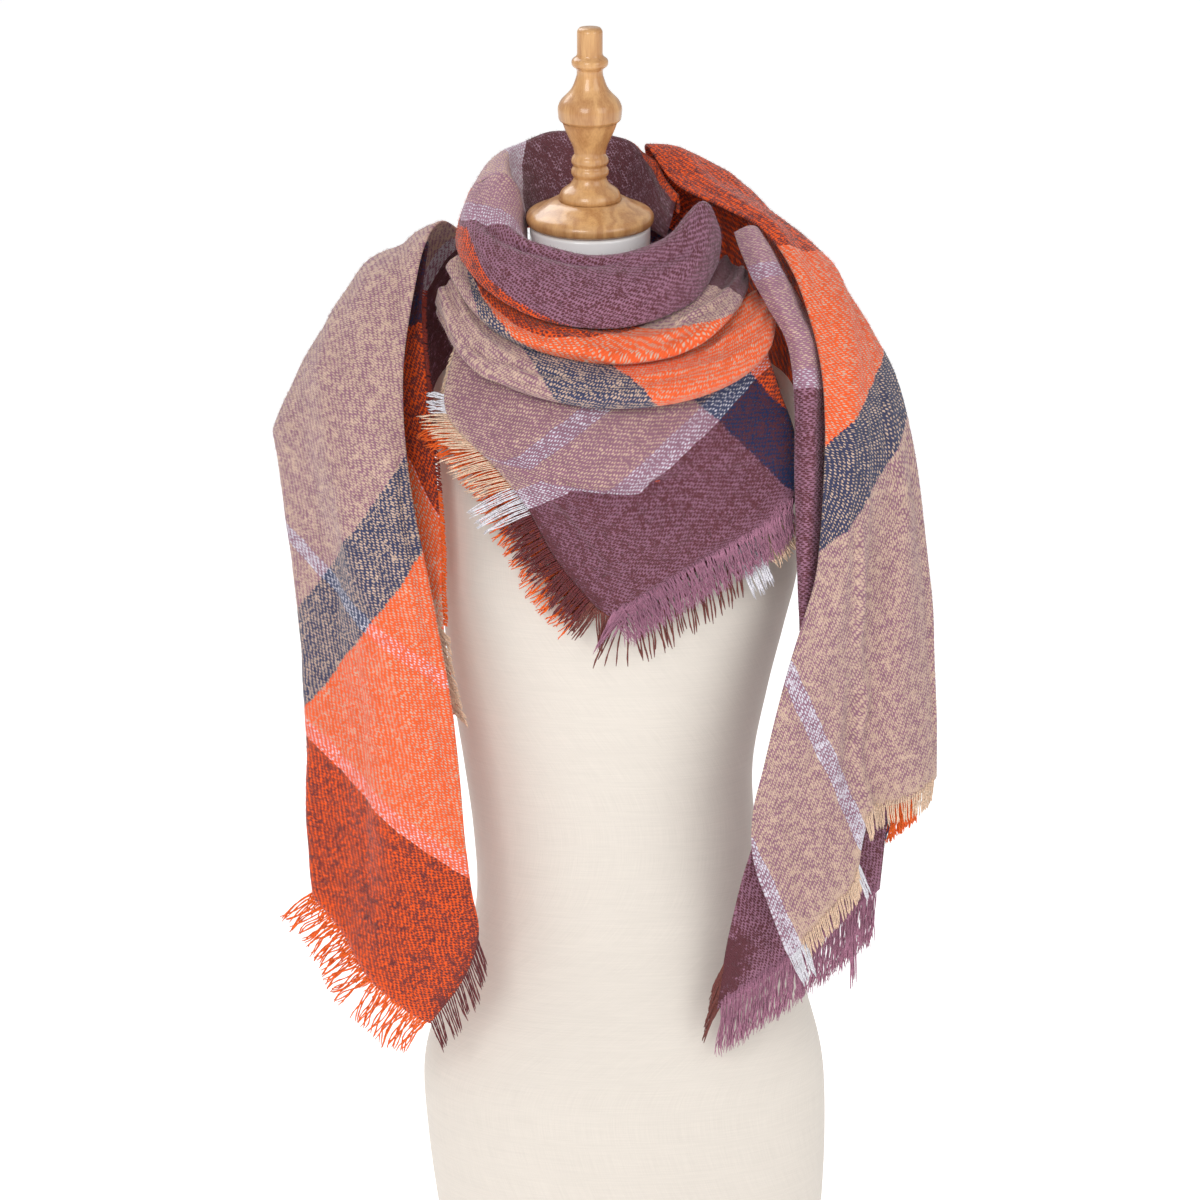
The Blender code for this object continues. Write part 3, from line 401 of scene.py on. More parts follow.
# how a piece's cloth was cut. A lie gives the slants of its long and cross bands, in degrees from level,
# from a height up; where a piece has more, they turn into each other about its own line. A slack is
# where the cloth is pulled along itself at a fold. A band starts at its place square to its slant.
Lie = namedtuple("Lie", "height warp weft")
Slack = namedtuple("Slack", "u v reach p q")
Band = namedtuple("Band", "start yarn")
Plaid = namedtuple("Plaid", "line lies slacks warp weft")
START = -900  # before any place on a piece
PLAIDS = {
    "left_tail": Plaid(
        -240, (Lie(0, 54, -37),), (),
        (Band(START, ORANGE), Band(533, NAVY), Band(592, LILAC), Band(860, NAVY), Band(915, ORANGE)),
        (
            Band(START, MAROON), Band(218, WHITE), Band(232, BEIGE),
            Band(340, WHITE), Band(356, BEIGE), Band(730, WHITE), Band(746, MAROON), Band(900, BEIGE),
        ),
    ),
    "left_leaf": Plaid(
        -220, (Lie(0, 20, -62),), (),
        (Band(START, ORANGE), Band(863, NAVY)),
        (Band(START, BEIGE), Band(178, WHITE), Band(180, MAROON)),
    ),
    "right_tail": Plaid(
        190, (Lie(640, 43, -66), Lie(860, 43, -8)), (),
        (Band(START, LILAC), Band(382, NAVY_PAINTED_SHADE), Band(445, ORANGE), Band(850, NAVY), Band(899, LILAC)),
        (
            Band(START, BEIGE), Band(250, WHITE), Band(264, BEIGE), Band(344, WHITE), Band(359, BEIGE),
            Band(660, MAROON),
        ),
    ),
    "right_roll": Plaid(
        140, (Lie(0, -70, 15),), (),
        (Band(START, LILAC_PAINTED_LIGHT),),
        (Band(START, MAROON), Band(694, WHITE), Band(711, BEIGE), Band(796, WHITE), Band(814, BEIGE)),
    ),
    "right_back_leaf": Plaid(
        150, (Lie(0, 40, -52),), (),
        (Band(START, LILAC_PAINTED_LIGHT),),
        (Band(START, MAROON),),
    ),
    "right_under_leaf": Plaid(
        240, (Lie(0, 40, -52),), (),
        (Band(START, ORANGE),),
        (Band(START, BEIGE),),
    ),
    "neck_roll": Plaid(
        0, (Lie(START, -12.5, 26),), (Slack(-195, -80, 26, 28, 0),),
        (Band(START, ORANGE), Band(-111, LILAC_PAINTED_LIGHT), Band(27, NAVY), Band(38, ORANGE)),
        (Band(START, MAROON), Band(2, WHITE), Band(13, BEIGE)),
    ),
    "neck_collar": Plaid(
        0, (Lie(START, 22, -43),), (),
        (Band(START, ORANGE), Band(-133, LILAC_PAINTED_BRIGHT)),
        (Band(START, BEIGE), Band(-22, WHITE), Band(-6, MAROON)),
    ),
    "second_fold": Plaid(
        0, (Lie(START, -20, -12),), (Slack(75, -30, 75, 0, -70), Slack(-185, -15, 40, -15, 0)),
        (Band(START, LILAC), Band(-84, NAVY), Band(-70, ORANGE), Band(-8, LILAC)),
        (Band(START, BEIGE), Band(-48, MAROON)),
    ),
    "third_fold": Plaid(
        0, (Lie(START, -54, 38),), (),
        (Band(START, LILAC), Band(-77, NAVY), Band(-11, ORANGE)),
        (Band(START, BEIGE),),
    ),
    "back_drape": Plaid(
        0, (Lie(START, 34, -56),), (),
        (Band(START, ORANGE), Band(-190, NAVY), Band(-140, LILAC)),
        (Band(START, MAROON), Band(-40, WHITE), Band(-26, BEIGE)),
    ),
    "bib_front": Plaid(
        0, (Lie(0, -45, 41),), (),
        (Band(START, LILAC_PAINTED_SHADE), Band(600, NAVY_PAINTED_SHADE), Band(646, ORANGE)),
        (Band(START, MAROON), Band(538, WHITE), Band(557, BEIGE), Band(609, WHITE), Band(624, BEIGE)),
    ),
    "bib_back": Plaid(
        0, (Lie(0, -65, 41),), (),
        (Band(START, ORANGE), Band(330, LILAC), Band(410, NAVY)),
        (Band(START, MAROON),),
    ),
}

# a pleat in a piece: below its sloping line, the cross bands stand off by a distance
Pleat = namedtuple("Pleat", "u v slope reach off")
PLEATS = {"bib_front": (Pleat(-3, 718, -0.14, 4, -40),)}

# where a weave opens towards its fringe: the rim, which share of it, how far in, and by how much the
# cross yarns gain (above zero) or lose
Hem = namedtuple("Hem", "rim start end reach gain")
HEM_FADE = 0.04  # share of a rim over which a hem begins and ends
HEMS = {
    "bib_front": (Hem("left", 0.05, 1.0, 13, 0.22), Hem("right", 0.40, 1.0, 15, -0.42)),
    "bib_back": (Hem("left", 0.05, 1.0, 20, -0.45), Hem("right", 0.40, 1.0, 20, 0.40)),
    "left_tail": (Hem("first", 0.0, 0.85, 12, -0.16), Hem("left", 0.0, 0.10, 10, 0.15)),
    "left_leaf": (Hem("left", 0.0, 0.24, 26, 0.40),),
    "right_tail": (Hem("first", 0.0, 0.90, 14, 0.20),),
    "right_back_leaf": (Hem("first", 0.0, 1.0, 13, -0.40), Hem("left", 0.0, 0.16, 24, 0.45)),
    "right_under_leaf": (Hem("first", 0.0, 1.0, 16, -0.40),),
}

# loose yarns of a fringe: between which shares of the rim, how many, their length, the way they leave
# (which is added to the cloth's own), how far neighbours draw together, their sway, width and dye
Tuft = namedtuple("Tuft", "start end count length way gather sway width inset dye")
Loose = namedtuple("Loose", "cloth rim slot tufts")
DYES = {
    "cream": (0.860, 0.620, 0.450),
    "white": (0.800, 0.780, 0.830),
    "maroon": (0.150, 0.026, 0.030),
    "brown": (0.190, 0.050, 0.040),
    "rust": (0.300, 0.035, 0.020),
    "orange": (0.950, 0.150, 0.015),
    "mauve": (0.470, 0.205, 0.305),
    "navy": (0.020, 0.035, 0.110),
}
LOOSE = {
    "fringe_bib_left": Loose("bib_front", "left_tip", "cream_yarn", (
        Tuft(0.02, 0.19, 40, 8, (-0.3, 0.0, -1.0), 0.3, 1.2, 1.3, 2, "cream"),
        Tuft(0.18, 0.24, 12, 17, (-1.2, -0.1, 0.1), 0.7, 2.0, 1.5, 2, "white"),
        Tuft(0.24, 0.39, 22, 27, (-1.2, -0.1, -0.15), 0.12, 1.3, 1.3, 2, "cream"),
        Tuft(0.39, 0.53, 22, 34, (-1.2, -0.1, -0.60), 0.12, 1.3, 1.3, 2, "cream"),
        Tuft(0.53, 0.62, 17, 42, (-1.1, -0.1, -0.90), 0.50, 1.2, 1.3, 2, "white"),
        Tuft(0.61, 0.80, 34, 30, (-0.9, 0.0, -1.0), 0.20, 1.3, 1.5, 2, "maroon"),
        Tuft(0.80, 0.93, 27, 30, (-0.4, 0.0, -1.2), 0.22, 1.3, 1.5, 2, "maroon"),
        Tuft(0.92, 1.00, 20, 32, (-0.3, 0.0, -1.4), 0.22, 1.3, 1.5, 3, "brown"),
    )),
    "fringe_bib_right": Loose("bib_front", "right_tip", "mauve_yarn", (
        Tuft(0.41, 1.00, 330, 30, (-0.35, -0.2, -1.0), 0.45, 3.2, 0.8, 15, "mauve"),
        Tuft(0.41, 1.00, 80, 26, (-0.35, -0.1, -1.0), 0.6, 2.4, 1.6, 4, "mauve"),
    )),
    "fringe_bib_left_back": Loose("bib_back", "left_tip", "orange_yarn", (
        Tuft(0.20, 0.53, 60, 22, (-1.0, 0.0, -0.4), 0.25, 2.0, 2.4, 2, "orange"),
        Tuft(0.20, 0.53, 70, 33, (-1.0, 0.0, -0.6), 0.75, 3.4, 1.5, 2, "orange"),
        Tuft(0.50, 0.94, 80, 20, (-0.8, 0.0, -0.9), 0.15, 1.6, 2.4, 2, "rust"),
        Tuft(0.48, 0.94, 80, 38, (-0.7, 0.0, -0.9), 0.85, 3.4, 1.4, 2, "orange"),
    )),
    "fringe_bib_right_back": Loose("bib_back", "right_tip", "maroon_yarn", (
        Tuft(0.39, 0.52, 44, 30, (0.1, -0.1, -1.0), 0.6, 3.0, 1.5, 2, "cream"),
        Tuft(0.52, 0.60, 24, 42, (-0.1, -0.1, -1.0), 0.3, 1.2, 1.7, 2, "white"),
        Tuft(0.59, 1.00, 44, 44, (-0.3, -0.1, -1.0), 0.45, 1.6, 1.6, 2, "brown"),
    )),
    "fringe_left_tail": Loose("left_tail", "first", "orange_yarn", (
        Tuft(0.66, 0.86, 22, 34, (-1.3, 0.0, -0.2), 0.75, 3.2, 1.6, 2, "orange"),
        Tuft(0.34, 0.66, 38, 36, (-1.2, 0.0, -0.3), 0.7, 4.2, 1.5, 2, "orange"),
        Tuft(0.02, 0.34, 34, 37, (-0.5, 0.0, -0.7), 0.8, 4.2, 1.5, 2, "orange"),
        Tuft(0.01, 0.86, 70, 12, (-0.9, 0.0, -0.5), 0.2, 1.4, 1.4, 2, "orange"),
    )),
    "fringe_left_corner": Loose("left_tail", "left", "maroon_yarn", (
        Tuft(0.002, 0.095, 34, 30, (0.1, -0.1, -1.6), 0.35, 1.0, 1.4, 2, "maroon"),
    )),
    "fringe_left_leaf": Loose("left_leaf", "left", "cream_yarn", (
        Tuft(0.00, 0.20, 60, 15, (0.2, -0.2, -1.3), 0.4, 1.4, 1.4, 6, "cream"),
        Tuft(0.20, 0.48, 130, 6, (0.5, 0.0, -0.6), 0.2, 0.8, 1.3, 2, "orange"),
        Tuft(0.48, 0.90, 170, 6, (0.5, 0.0, -0.6), 0.2, 0.8, 1.3, 2, "rust"),
    )),
    "fringe_right_hem": Loose("right_tail", "first", "cream_yarn", (
        Tuft(0.003, 0.075, 18, 27, (0.3, -0.2, -0.6), 0.6, 1.0, 1.3, 2, "white"),
        Tuft(0.07, 0.38, 44, 15, (0.15, -0.1, -0.6), 0.25, 0.8, 1.5, 5, "cream"),
        Tuft(0.36, 0.40, 12, 24, (0.5, -0.2, -0.8), 0.6, 1.0, 1.3, 2, "white"),
    )),
    "fringe_right_hem_outer": Loose("right_tail", "first", "cream_yarn", (
        Tuft(0.54, 0.88, 46, 17, (0.0, -0.1, -0.6), 0.3, 0.8, 1.5, 5, "cream"),
    )),
    "fringe_right_back": Loose("right_back_leaf", "first", "mauve_yarn", (
        Tuft(0.02, 0.97, 230, 42, (0.0, 0.0, -1.0), 0.7, 4.0, 0.9, 12, "mauve"),
        Tuft(0.02, 0.97, 80, 38, (0.0, 0.0, -1.0), 0.75, 3.2, 1.5, 3, "mauve"),
        Tuft(0.80, 0.84, 14, 60, (0.1, 0.0, -1.0), 0.9, 1.5, 1.1, 3, "mauve"),
    )),
    "fringe_right_back_tip": Loose("right_back_leaf", "left", "maroon_yarn", (
        Tuft(0.00, 0.15, 26, 32, (-0.3, -0.1, -1.5), 0.30, 2.2, 1.6, 3, "brown"),
    )),
    "fringe_right_under": Loose("right_under_leaf", "first", "orange_yarn", (
        Tuft(0.02, 0.99, 70, 25, (0.0, 0.0, -1.0), 0.4, 2.6, 1.5, 4, "orange"),
        Tuft(0.00, 0.12, 5, 27, (-0.3, -0.3, -1.0), 0.5, 3.0, 1.3, 2, "navy"),
    )),
}
STEPS = 7  # pieces of a yarn's length
BUNCH = (3, 8)  # yarns that draw together: from, and up to but without
LENGTHS = (0.84, 1.10)  # shortest and longest yarn of a tuft, against its length
DEEP = 3  # an inset above this starts on the cloth's front
SAG = 0.10  # how far a yarn's tip sinks, as a share of its length
YARN_TIP = 0.45  # its width there, as a share
YARN_TURN = 5.0  # radians that it twists by
YARN_SEED = 40

# the brushed nap: its fibres' length and width, how steeply they rise, how deep they start in the shell,
# and how many there are
Nap = namedtuple("Nap", "length width least_rise rise sunk each_mm2")
NAP = Nap(4.6, 0.34, 0.15, 1.0, 0.15, 0.19)

# the low swells of a soft cloth: how many cross, their height, and the shortest and longest of them
Swell = namedtuple("Swell", "count height shortest longest")
SWELL = Swell(9, 0.55, 34, 120)


# ---- lines and lofts, as in the part ----


def unit(ways):
    """The same directions, each of length one."""
    return ways / np.maximum(np.linalg.norm(ways, axis=-1, keepdims=True), 1e-9)


def run_of(points):
    """Length run along a line at each of its points."""
    return np.concatenate([[0], np.cumsum(np.linalg.norm(np.diff(points, axis=0), axis=1))])


def smooth_step(share):
    return share * share * (3 - 2 * share)


def spline(points, count):
    """Even points on the smooth line through the given ones."""
    points = np.asarray(points, float)
    fine = refined(points, 14)
    run = run_of(fine)
    where = np.linspace(0, run[-1], count)
    return np.stack([np.interp(where, run, fine[:, k]) for k in range(fine.shape[1])], 1)


def refined(rows, times):
    """A row of points, or of rows of points, with smooth steps between them."""
    ends = np.concatenate([[2 * rows[0] - rows[1]], rows, [2 * rows[-1] - rows[-2]]])
    fine = []
    for k in range(len(rows) - 1):
        a, b, c, d = ends[k : k + 4]
        for t in np.linspace(0, 1, times, endpoint=False):
            fine.append(
                b
                + 0.5 * (c - a) * t
                + (a - 2.5 * b + 2 * c - 0.5 * d) * t**2
                + 0.5 * (3 * b - a - 3 * c + d) * t**3
            )
    fine.append(rows[-1])
    return np.array(fine)


def finer(grid, times=FINER):
    """The same surface through more points, both along it and across it."""
    grid = refined(grid, times)
    return np.swapaxes(refined(np.swapaxes(grid, 0, 1), times), 0, 1)


def loft(curves, along):
    """A grid of points through a row of curves that all have as many points."""
    curves = np.asarray(curves, float)
    return spline(curves.reshape(len(curves), -1), along).reshape(along, curves.shape[1], 3)


def normals(grid):
    down = np.gradient(grid, axis=0)
    over = np.gradient(grid, axis=1)
    return unit(np.cross(down, over))


def leaf_curve(leaf, across):
    """One section of a hanging leaf, bowed between its edges."""
    inner, outer, bow = (np.array(v, float) for v in (leaf.inner, leaf.outer, leaf.bow))
    t = np.linspace(0, 1, across)[:, None]
    return inner + (outer - inner) * t + bow * np.sin(math.pi * t**0.88) ** 0.85


def turn_edge(grid, radii, count):
    """Turns the last rim of a grid back under it, along a half round of the given radii."""
    out = unit(grid[:, -1] - grid[:, -2])
    back = normals(grid)[:, -1]
    if back[0, 1] < 0:
        back = -back
    hooks = []
    for angle in np.linspace(0, TURN_ANGLE, count + 1)[1:]:
        hooks.append(grid[:, -1] + radii[:, None] * (math.sin(angle) * out + (1 - math.cos(angle)) * back))
    return np.concatenate([grid, np.stack(hooks, 1)], 1)


def leaf_grid(rows, mesh):
    curves = [leaf_curve(row, mesh.across) for row in rows]
    if not mesh.turned:
        return loft(curves, mesh.along)
    carried = [np.vstack([curve, [row.turn, 0, 0]]) for curve, row in zip(curves, rows)]
    grid = loft(carried, mesh.along)
    return turn_edge(grid[:, :-1], grid[:, -1, 0], mesh.turned)


def fold_curve(fold, across):
    """One section of a fold of the cowl: tucked in above, swelling out, hanging free below."""
    upper, lower = np.array(fold.upper, float), np.array(fold.lower, float)
    out = (upper + lower) / 2 - np.array([NECK_X, 0, 0])
    out[2] = 0
    out /= np.linalg.norm(out)
    ring = [
        upper - out * fold.tuck + np.array([0, 0, FOLD_RISE]),
        upper,
        (upper * 2 + lower) / 3 + out * fold.swell * 0.9,
        (upper + lower * 2) / 3 + out * fold.swell,
        lower,
    ]
    return spline(ring, across)


def fold_grid(rows, mesh):
    return loft([fold_curve(row, mesh.across) for row in rows], mesh.along)


def round_curve(row, across):
    """One section of a winding, by radius and height: up the inside, over the crest, down the outside."""
    angle = math.radians(row.angle)
    out = np.array([math.sin(angle), -math.cos(angle), 0.0])
    points = []
    for radius, height in (row.inside, row.crest, row.outside, row.lower):
        points.append(np.array([NECK_X, 0, height]) + out * radius)
    return spline(points, across)


def round_grid(rows, mesh):
    return loft([round_curve(row, mesh.across) for row in rows], mesh.along)


def bib_curve(row, across):
    left, middle, right = (np.array(v, float) for v in (row.left, row.middle, row.right))
    sag = np.array([0, -row.forward, -row.drop], float)
    return spline([left, (left + middle) / 2 + sag, middle, (middle + right) / 2 + sag, right], across)


def bib_grid(rows, mesh):
    return loft([bib_curve(row, mesh.across) for row in rows], mesh.along)


def crease(grid, lines):
    """Presses soft folds into a grid, along its normals."""
    rows, cols = grid.shape[:2]
    s, t = np.meshgrid(np.linspace(0, 1, rows), np.linspace(0, 1, cols), indexing="ij")
    high = np.zeros((rows, cols))
    for line in lines:
        ds = line.to_along - line.along
        dt = line.to_across - line.across
        share = ((s - line.along) * ds + (t - line.across) * dt) / (ds * ds + dt * dt)
        share = np.clip(share, 0, 1)
        away = np.hypot(s - line.along - share * ds, t - line.across - share * dt)
        high += line.height * np.exp(-((away / line.reach) ** 2))
    return grid + normals(grid) * high[:, :, None]


def step_hem(grid, mesh):
    """Shortens the outer part of a leaf's lower rim, so that its hem steps at a fold."""
    grid = grid.copy()
    share = np.linspace(0, 1, mesh.across)
    past = (share - HEM_STEP) / (1 - HEM_STEP)
    up = np.where(past > 0, HEM_STEP_LIFT + (HEM_STEP_END - HEM_STEP_LIFT) * past, 0)
    up = np.concatenate([up, np.full(mesh.turned, HEM_STEP_END)])
    for row, part in enumerate(HEM_STEP_FADE):
        grid[row, :, 2] += up * part
    return grid


# ---- every stretch of the scarf as a fine grid, with its place on the flat cloth ----


def run_along(grid, axis, parts):
    """Length run along an axis of a grid, counting each coordinate in the given part."""
    step = np.linalg.norm(np.diff(grid * np.array(parts, float), axis=axis), axis=2)
    run = np.cumsum(step, axis=axis)
    zero = np.zeros_like(np.take(run, [0], axis=axis))
    return np.concatenate([zero, run], axis=axis)


def lay_hanging(grid, middle=False):
    """Flat place of a hanging piece: across it from its first rim or its middle, and up along it."""
    across = run_along(grid, 1, (1, 0.5, 0))
    sign = 1 if grid[0, -1, 0] > grid[0, 0, 0] else -1
    column = grid.shape[1] // 2 if middle else 0
    u = grid[:, column : column + 1, 0] + sign * (across - across[:, column : column + 1])
    up = run_along(grid, 0, (0, 1, 1))
    rising = 1 if grid[-1, 0, 2] > grid[0, 0, 2] else -1
    v = grid[:1, :, 2] + rising * up
    return np.stack([u, v], 2)


def lay_wound(grid):
    """Flat place of a wound piece: along the winding from the front, and up across it."""
    along = run_along(grid, 0, (1, 1, 1))
    front = int(np.argmin(grid[:, grid.shape[1] // 2, 1]))
    u = along - along[front : front + 1]
    if grid[-1, 0, 0] < grid[0, 0, 0]:
        u = -u
    return np.stack([u, -run_along(grid, 1, (1, 1, 1))], 2)


def ripple(grid, flat, seed):
    """Very low uneven swells, as soft cloth has between its folds."""
    rng = np.random.RandomState(seed)
    high = np.zeros(grid.shape[:2])
    for _ in range(SWELL.count):
        angle = rng.uniform(0, math.pi)
        wave = 2 * math.pi / rng.uniform(SWELL.shortest, SWELL.longest)
        shift = rng.uniform(0, 2 * math.pi)
        way = flat[:, :, 0] * math.cos(angle) + flat[:, :, 1] * math.sin(angle)
        high += np.sin(way * wave + shift) * rng.uniform(0.3, 1.0)
    return grid + normals(grid) * (high * SWELL.height / 3)[:, :, None]


def stretches():
    """All the cloth as {name: (grid, flat)}."""
    bib = crease(bib_grid(BIB_FRONT, BIB_MESH), BIB_CREASES)
    left = crease(leaf_grid(LEFT_TAIL, LEFT_TAIL_MESH), LEFT_CREASES)
    right = crease(leaf_grid(RIGHT_TAIL, RIGHT_TAIL_MESH), RIGHT_CREASES)
    coarse = {
        "neck_roll": round_grid(NECK_ROLL, NECK_ROLL_MESH),
        "neck_collar": round_grid(NECK_COLLAR, NECK_COLLAR_MESH),
        "second_fold": fold_grid(SECOND_FOLD, SECOND_FOLD_MESH),
        "third_fold": fold_grid(THIRD_FOLD, THIRD_FOLD_MESH),
        "back_drape": round_grid(BACK_DRAPE, BACK_DRAPE_MESH),
        "bib_front": bib,
        "bib_back": bib[1:, ::2] + np.array(BIB_BACK_STEP, float),
        "left_tail": left,
        "left_leaf": leaf_grid(LEFT_LEAF, LEFT_LEAF_MESH),
        "right_tail": step_hem(right, RIGHT_TAIL_MESH),
        "right_roll": leaf_grid(RIGHT_ROLL, RIGHT_ROLL_MESH),
        "right_back_leaf": leaf_grid(RIGHT_BACK_LEAF, RIGHT_BACK_MESH),
        "right_under_leaf": leaf_grid(RIGHT_UNDER_LEAF, RIGHT_UNDER_MESH),
    }
    made = {}
    for seed, (name, rough) in enumerate(coarse.items()):
        grid = finer(rough)
        if name in ("neck_roll", "neck_collar", "second_fold", "third_fold", "back_drape"):
            flat = lay_wound(grid)
        else:
            flat = lay_hanging(grid, middle=name.startswith("bib"))
        grid = crease(grid, FINE_CREASES.get(name, ()))
        grid = ripple(grid, flat, seed)
        made[name] = (grid, flat)
    return made


# ---- meshes ----


def body(name, points, faces, look):
    mesh = bpy.data.meshes.new(name)
    mesh.from_pydata((np.asarray(points, float) * MM).tolist(), [], faces)
    mesh.materials.append(look)
    mesh.shade_smooth()
    made = bpy.data.objects.new(name, mesh)
    bpy.context.scene.collection.objects.link(made)
    return made


def face_out(piece):
    work = bmesh.new()
    work.from_mesh(piece.data)
    bmesh.ops.recalc_face_normals(work, faces=work.faces)
    work.to_mesh(piece.data)
    work.free()


def keep_vectors(piece, name, values):
    layer = piece.data.attributes.new(name, "FLOAT_VECTOR", "POINT")
    layer.data.foreach_set("vector", np.asarray(values, np.float32).ravel())


def shell(name, grid, layers, look):
    """A thin closed cloth on a grid, with a ridge round its rims and a nap on both sides."""
    rows, cols = grid.shape[:2]
    n = normals(grid) * SHELL / 2
    points = [(grid + n).reshape(-1, 3), (grid - n).reshape(-1, 3)]
    half = rows * cols
    faces = []
    for i in range(rows - 1):
        for j in range(cols - 1):
            a = i * cols + j
            b = a + half
            faces.append((a, a + 1, a + cols + 1, a + cols))
            faces.append((b + cols, b + cols + 1, b + 1, b))
    rim = list(range(cols))
    rim += [i * cols + cols - 1 for i in range(1, rows)]
    rim += [(rows - 1) * cols + j for j in range(cols - 2, -1, -1)]
    rim += [i * cols for i in range(rows - 2, 0, -1)]
    flat_grid = grid.reshape(-1, 3)
    inward = {}
    for j in range(cols):
        inward[j] = j + cols
        inward[(rows - 1) * cols + j] = (rows - 2) * cols + j
    for i in range(1, rows - 1):
        inward[i * cols] = i * cols + 1
        inward[i * cols + cols - 1] = i * cols + cols - 2
    lip = []
    for a in rim:
        way = flat_grid[a] - flat_grid[inward[a]]
        way /= max(np.linalg.norm(way), 1e-9)
        lip.append(flat_grid[a] + way * SHELL * LIP)
    points.append(np.array(lip))
    count = len(rim)
    for k in range(count):
        a, b = rim[k], rim[(k + 1) % count]
        c, d = 2 * half + k, 2 * half + (k + 1) % count
        faces.append((b, a, c, d))
        faces.append((d, c, a + half, b + half))
    points = np.vstack(points)
    spread = {}
    for layer, full in layers.items():
        values = full.reshape(-1, 3)
        spread[layer] = (np.vstack([values, values, values[rim]]), full)
    rng = np.random.RandomState(len(name))
    points, faces, spread = add_nap(points, faces, spread, grid, rng)
    piece = body(name, points, faces, look)
    for layer, values in spread.items():
        keep_vectors(piece, layer, values)
    face_out(piece)
    return piece


def add_nap(points, faces, layers, grid, rng):
    """Short fibres that stand on both sides of a cloth, each a three-sided spike in its root's colour."""
    cols = grid.shape[1]
    over = grid[:-1, 1:] - grid[:-1, :-1]
    up = grid[1:, :-1] - grid[:-1, :-1]
    size = np.linalg.norm(np.cross(over, up), axis=2).ravel()
    count = int(size.sum() * NAP.each_mm2)
    cell = rng.choice(len(size), count, p=size / size.sum())
    i, j = cell // (cols - 1), cell % (cols - 1)
    a, b = rng.uniform(0, 1, (count, 1)), rng.uniform(0, 1, (count, 1))

    def between(values):
        low = values[i, j] * (1 - b) + values[i, j + 1] * b
        high = values[i + 1, j] * (1 - b) + values[i + 1, j + 1] * b
        return low * (1 - a) + high * a

    face = normals(grid)[i, j] * rng.choice([-1.0, 1.0], (count, 1))
    side = unit(over[i, j])
    other = np.cross(face, side)
    turn = rng.uniform(0, 2 * math.pi, (count, 1))
    rise = rng.uniform(NAP.least_rise, NAP.rise, (count, 1))
    way = unit(np.cos(turn) * side + np.sin(turn) * other + face * rise)
    root = between(grid) + face * (SHELL / 2 - NAP.sunk)
    flank = np.cross(way, face)
    spikes = np.stack([
        root + flank * NAP.width / 2,
        root - flank * NAP.width / 2,
        root + face * NAP.width * 0.6,
        root + way * rng.uniform(0.5, 1.0, (count, 1)) * NAP.length,
    ], 1)
    first = len(points) + 4 * np.arange(count)[:, None]
    corners = np.array([[0, 1, 2], [0, 3, 1], [1, 3, 2], [2, 3, 0]])
    made = (first[:, :, None] + corners[None]).reshape(-1, 3)
    layers = {
        name: np.vstack([values, np.repeat(between(full), 4, axis=0)])
        for name, (values, full) in layers.items()
    }
    return np.vstack([points, spikes.reshape(-1, 3)]), faces + made.tolist(), layers


def ringed(name, rings, values, look):
    """A closed body through a stack of rings, with a flat face at both ends."""
    rings = np.asarray(rings, float)
    count, sides = rings.shape[:2]
    faces = [tuple(range(sides - 1, -1, -1))]
    for i in range(count - 1):
        for j in range(sides):
            a, b = i * sides + j, i * sides + (j + 1) % sides
            faces.append((a, b, b + sides, a + sides))
    faces.append(tuple(range((count - 1) * sides, count * sides)))
    piece = body(name, rings.reshape(-1, 3), faces, look)
    keep_vectors(piece, "place", np.asarray(values, float).reshape(-1, 3))
    face_out(piece)
    return piece


def stand_for(piece, node):
    """Lets a piece take the place of its solid, which is hidden, and hangs it under the root body."""
    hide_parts(node)
    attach(piece, "root")


# ---- materials ----


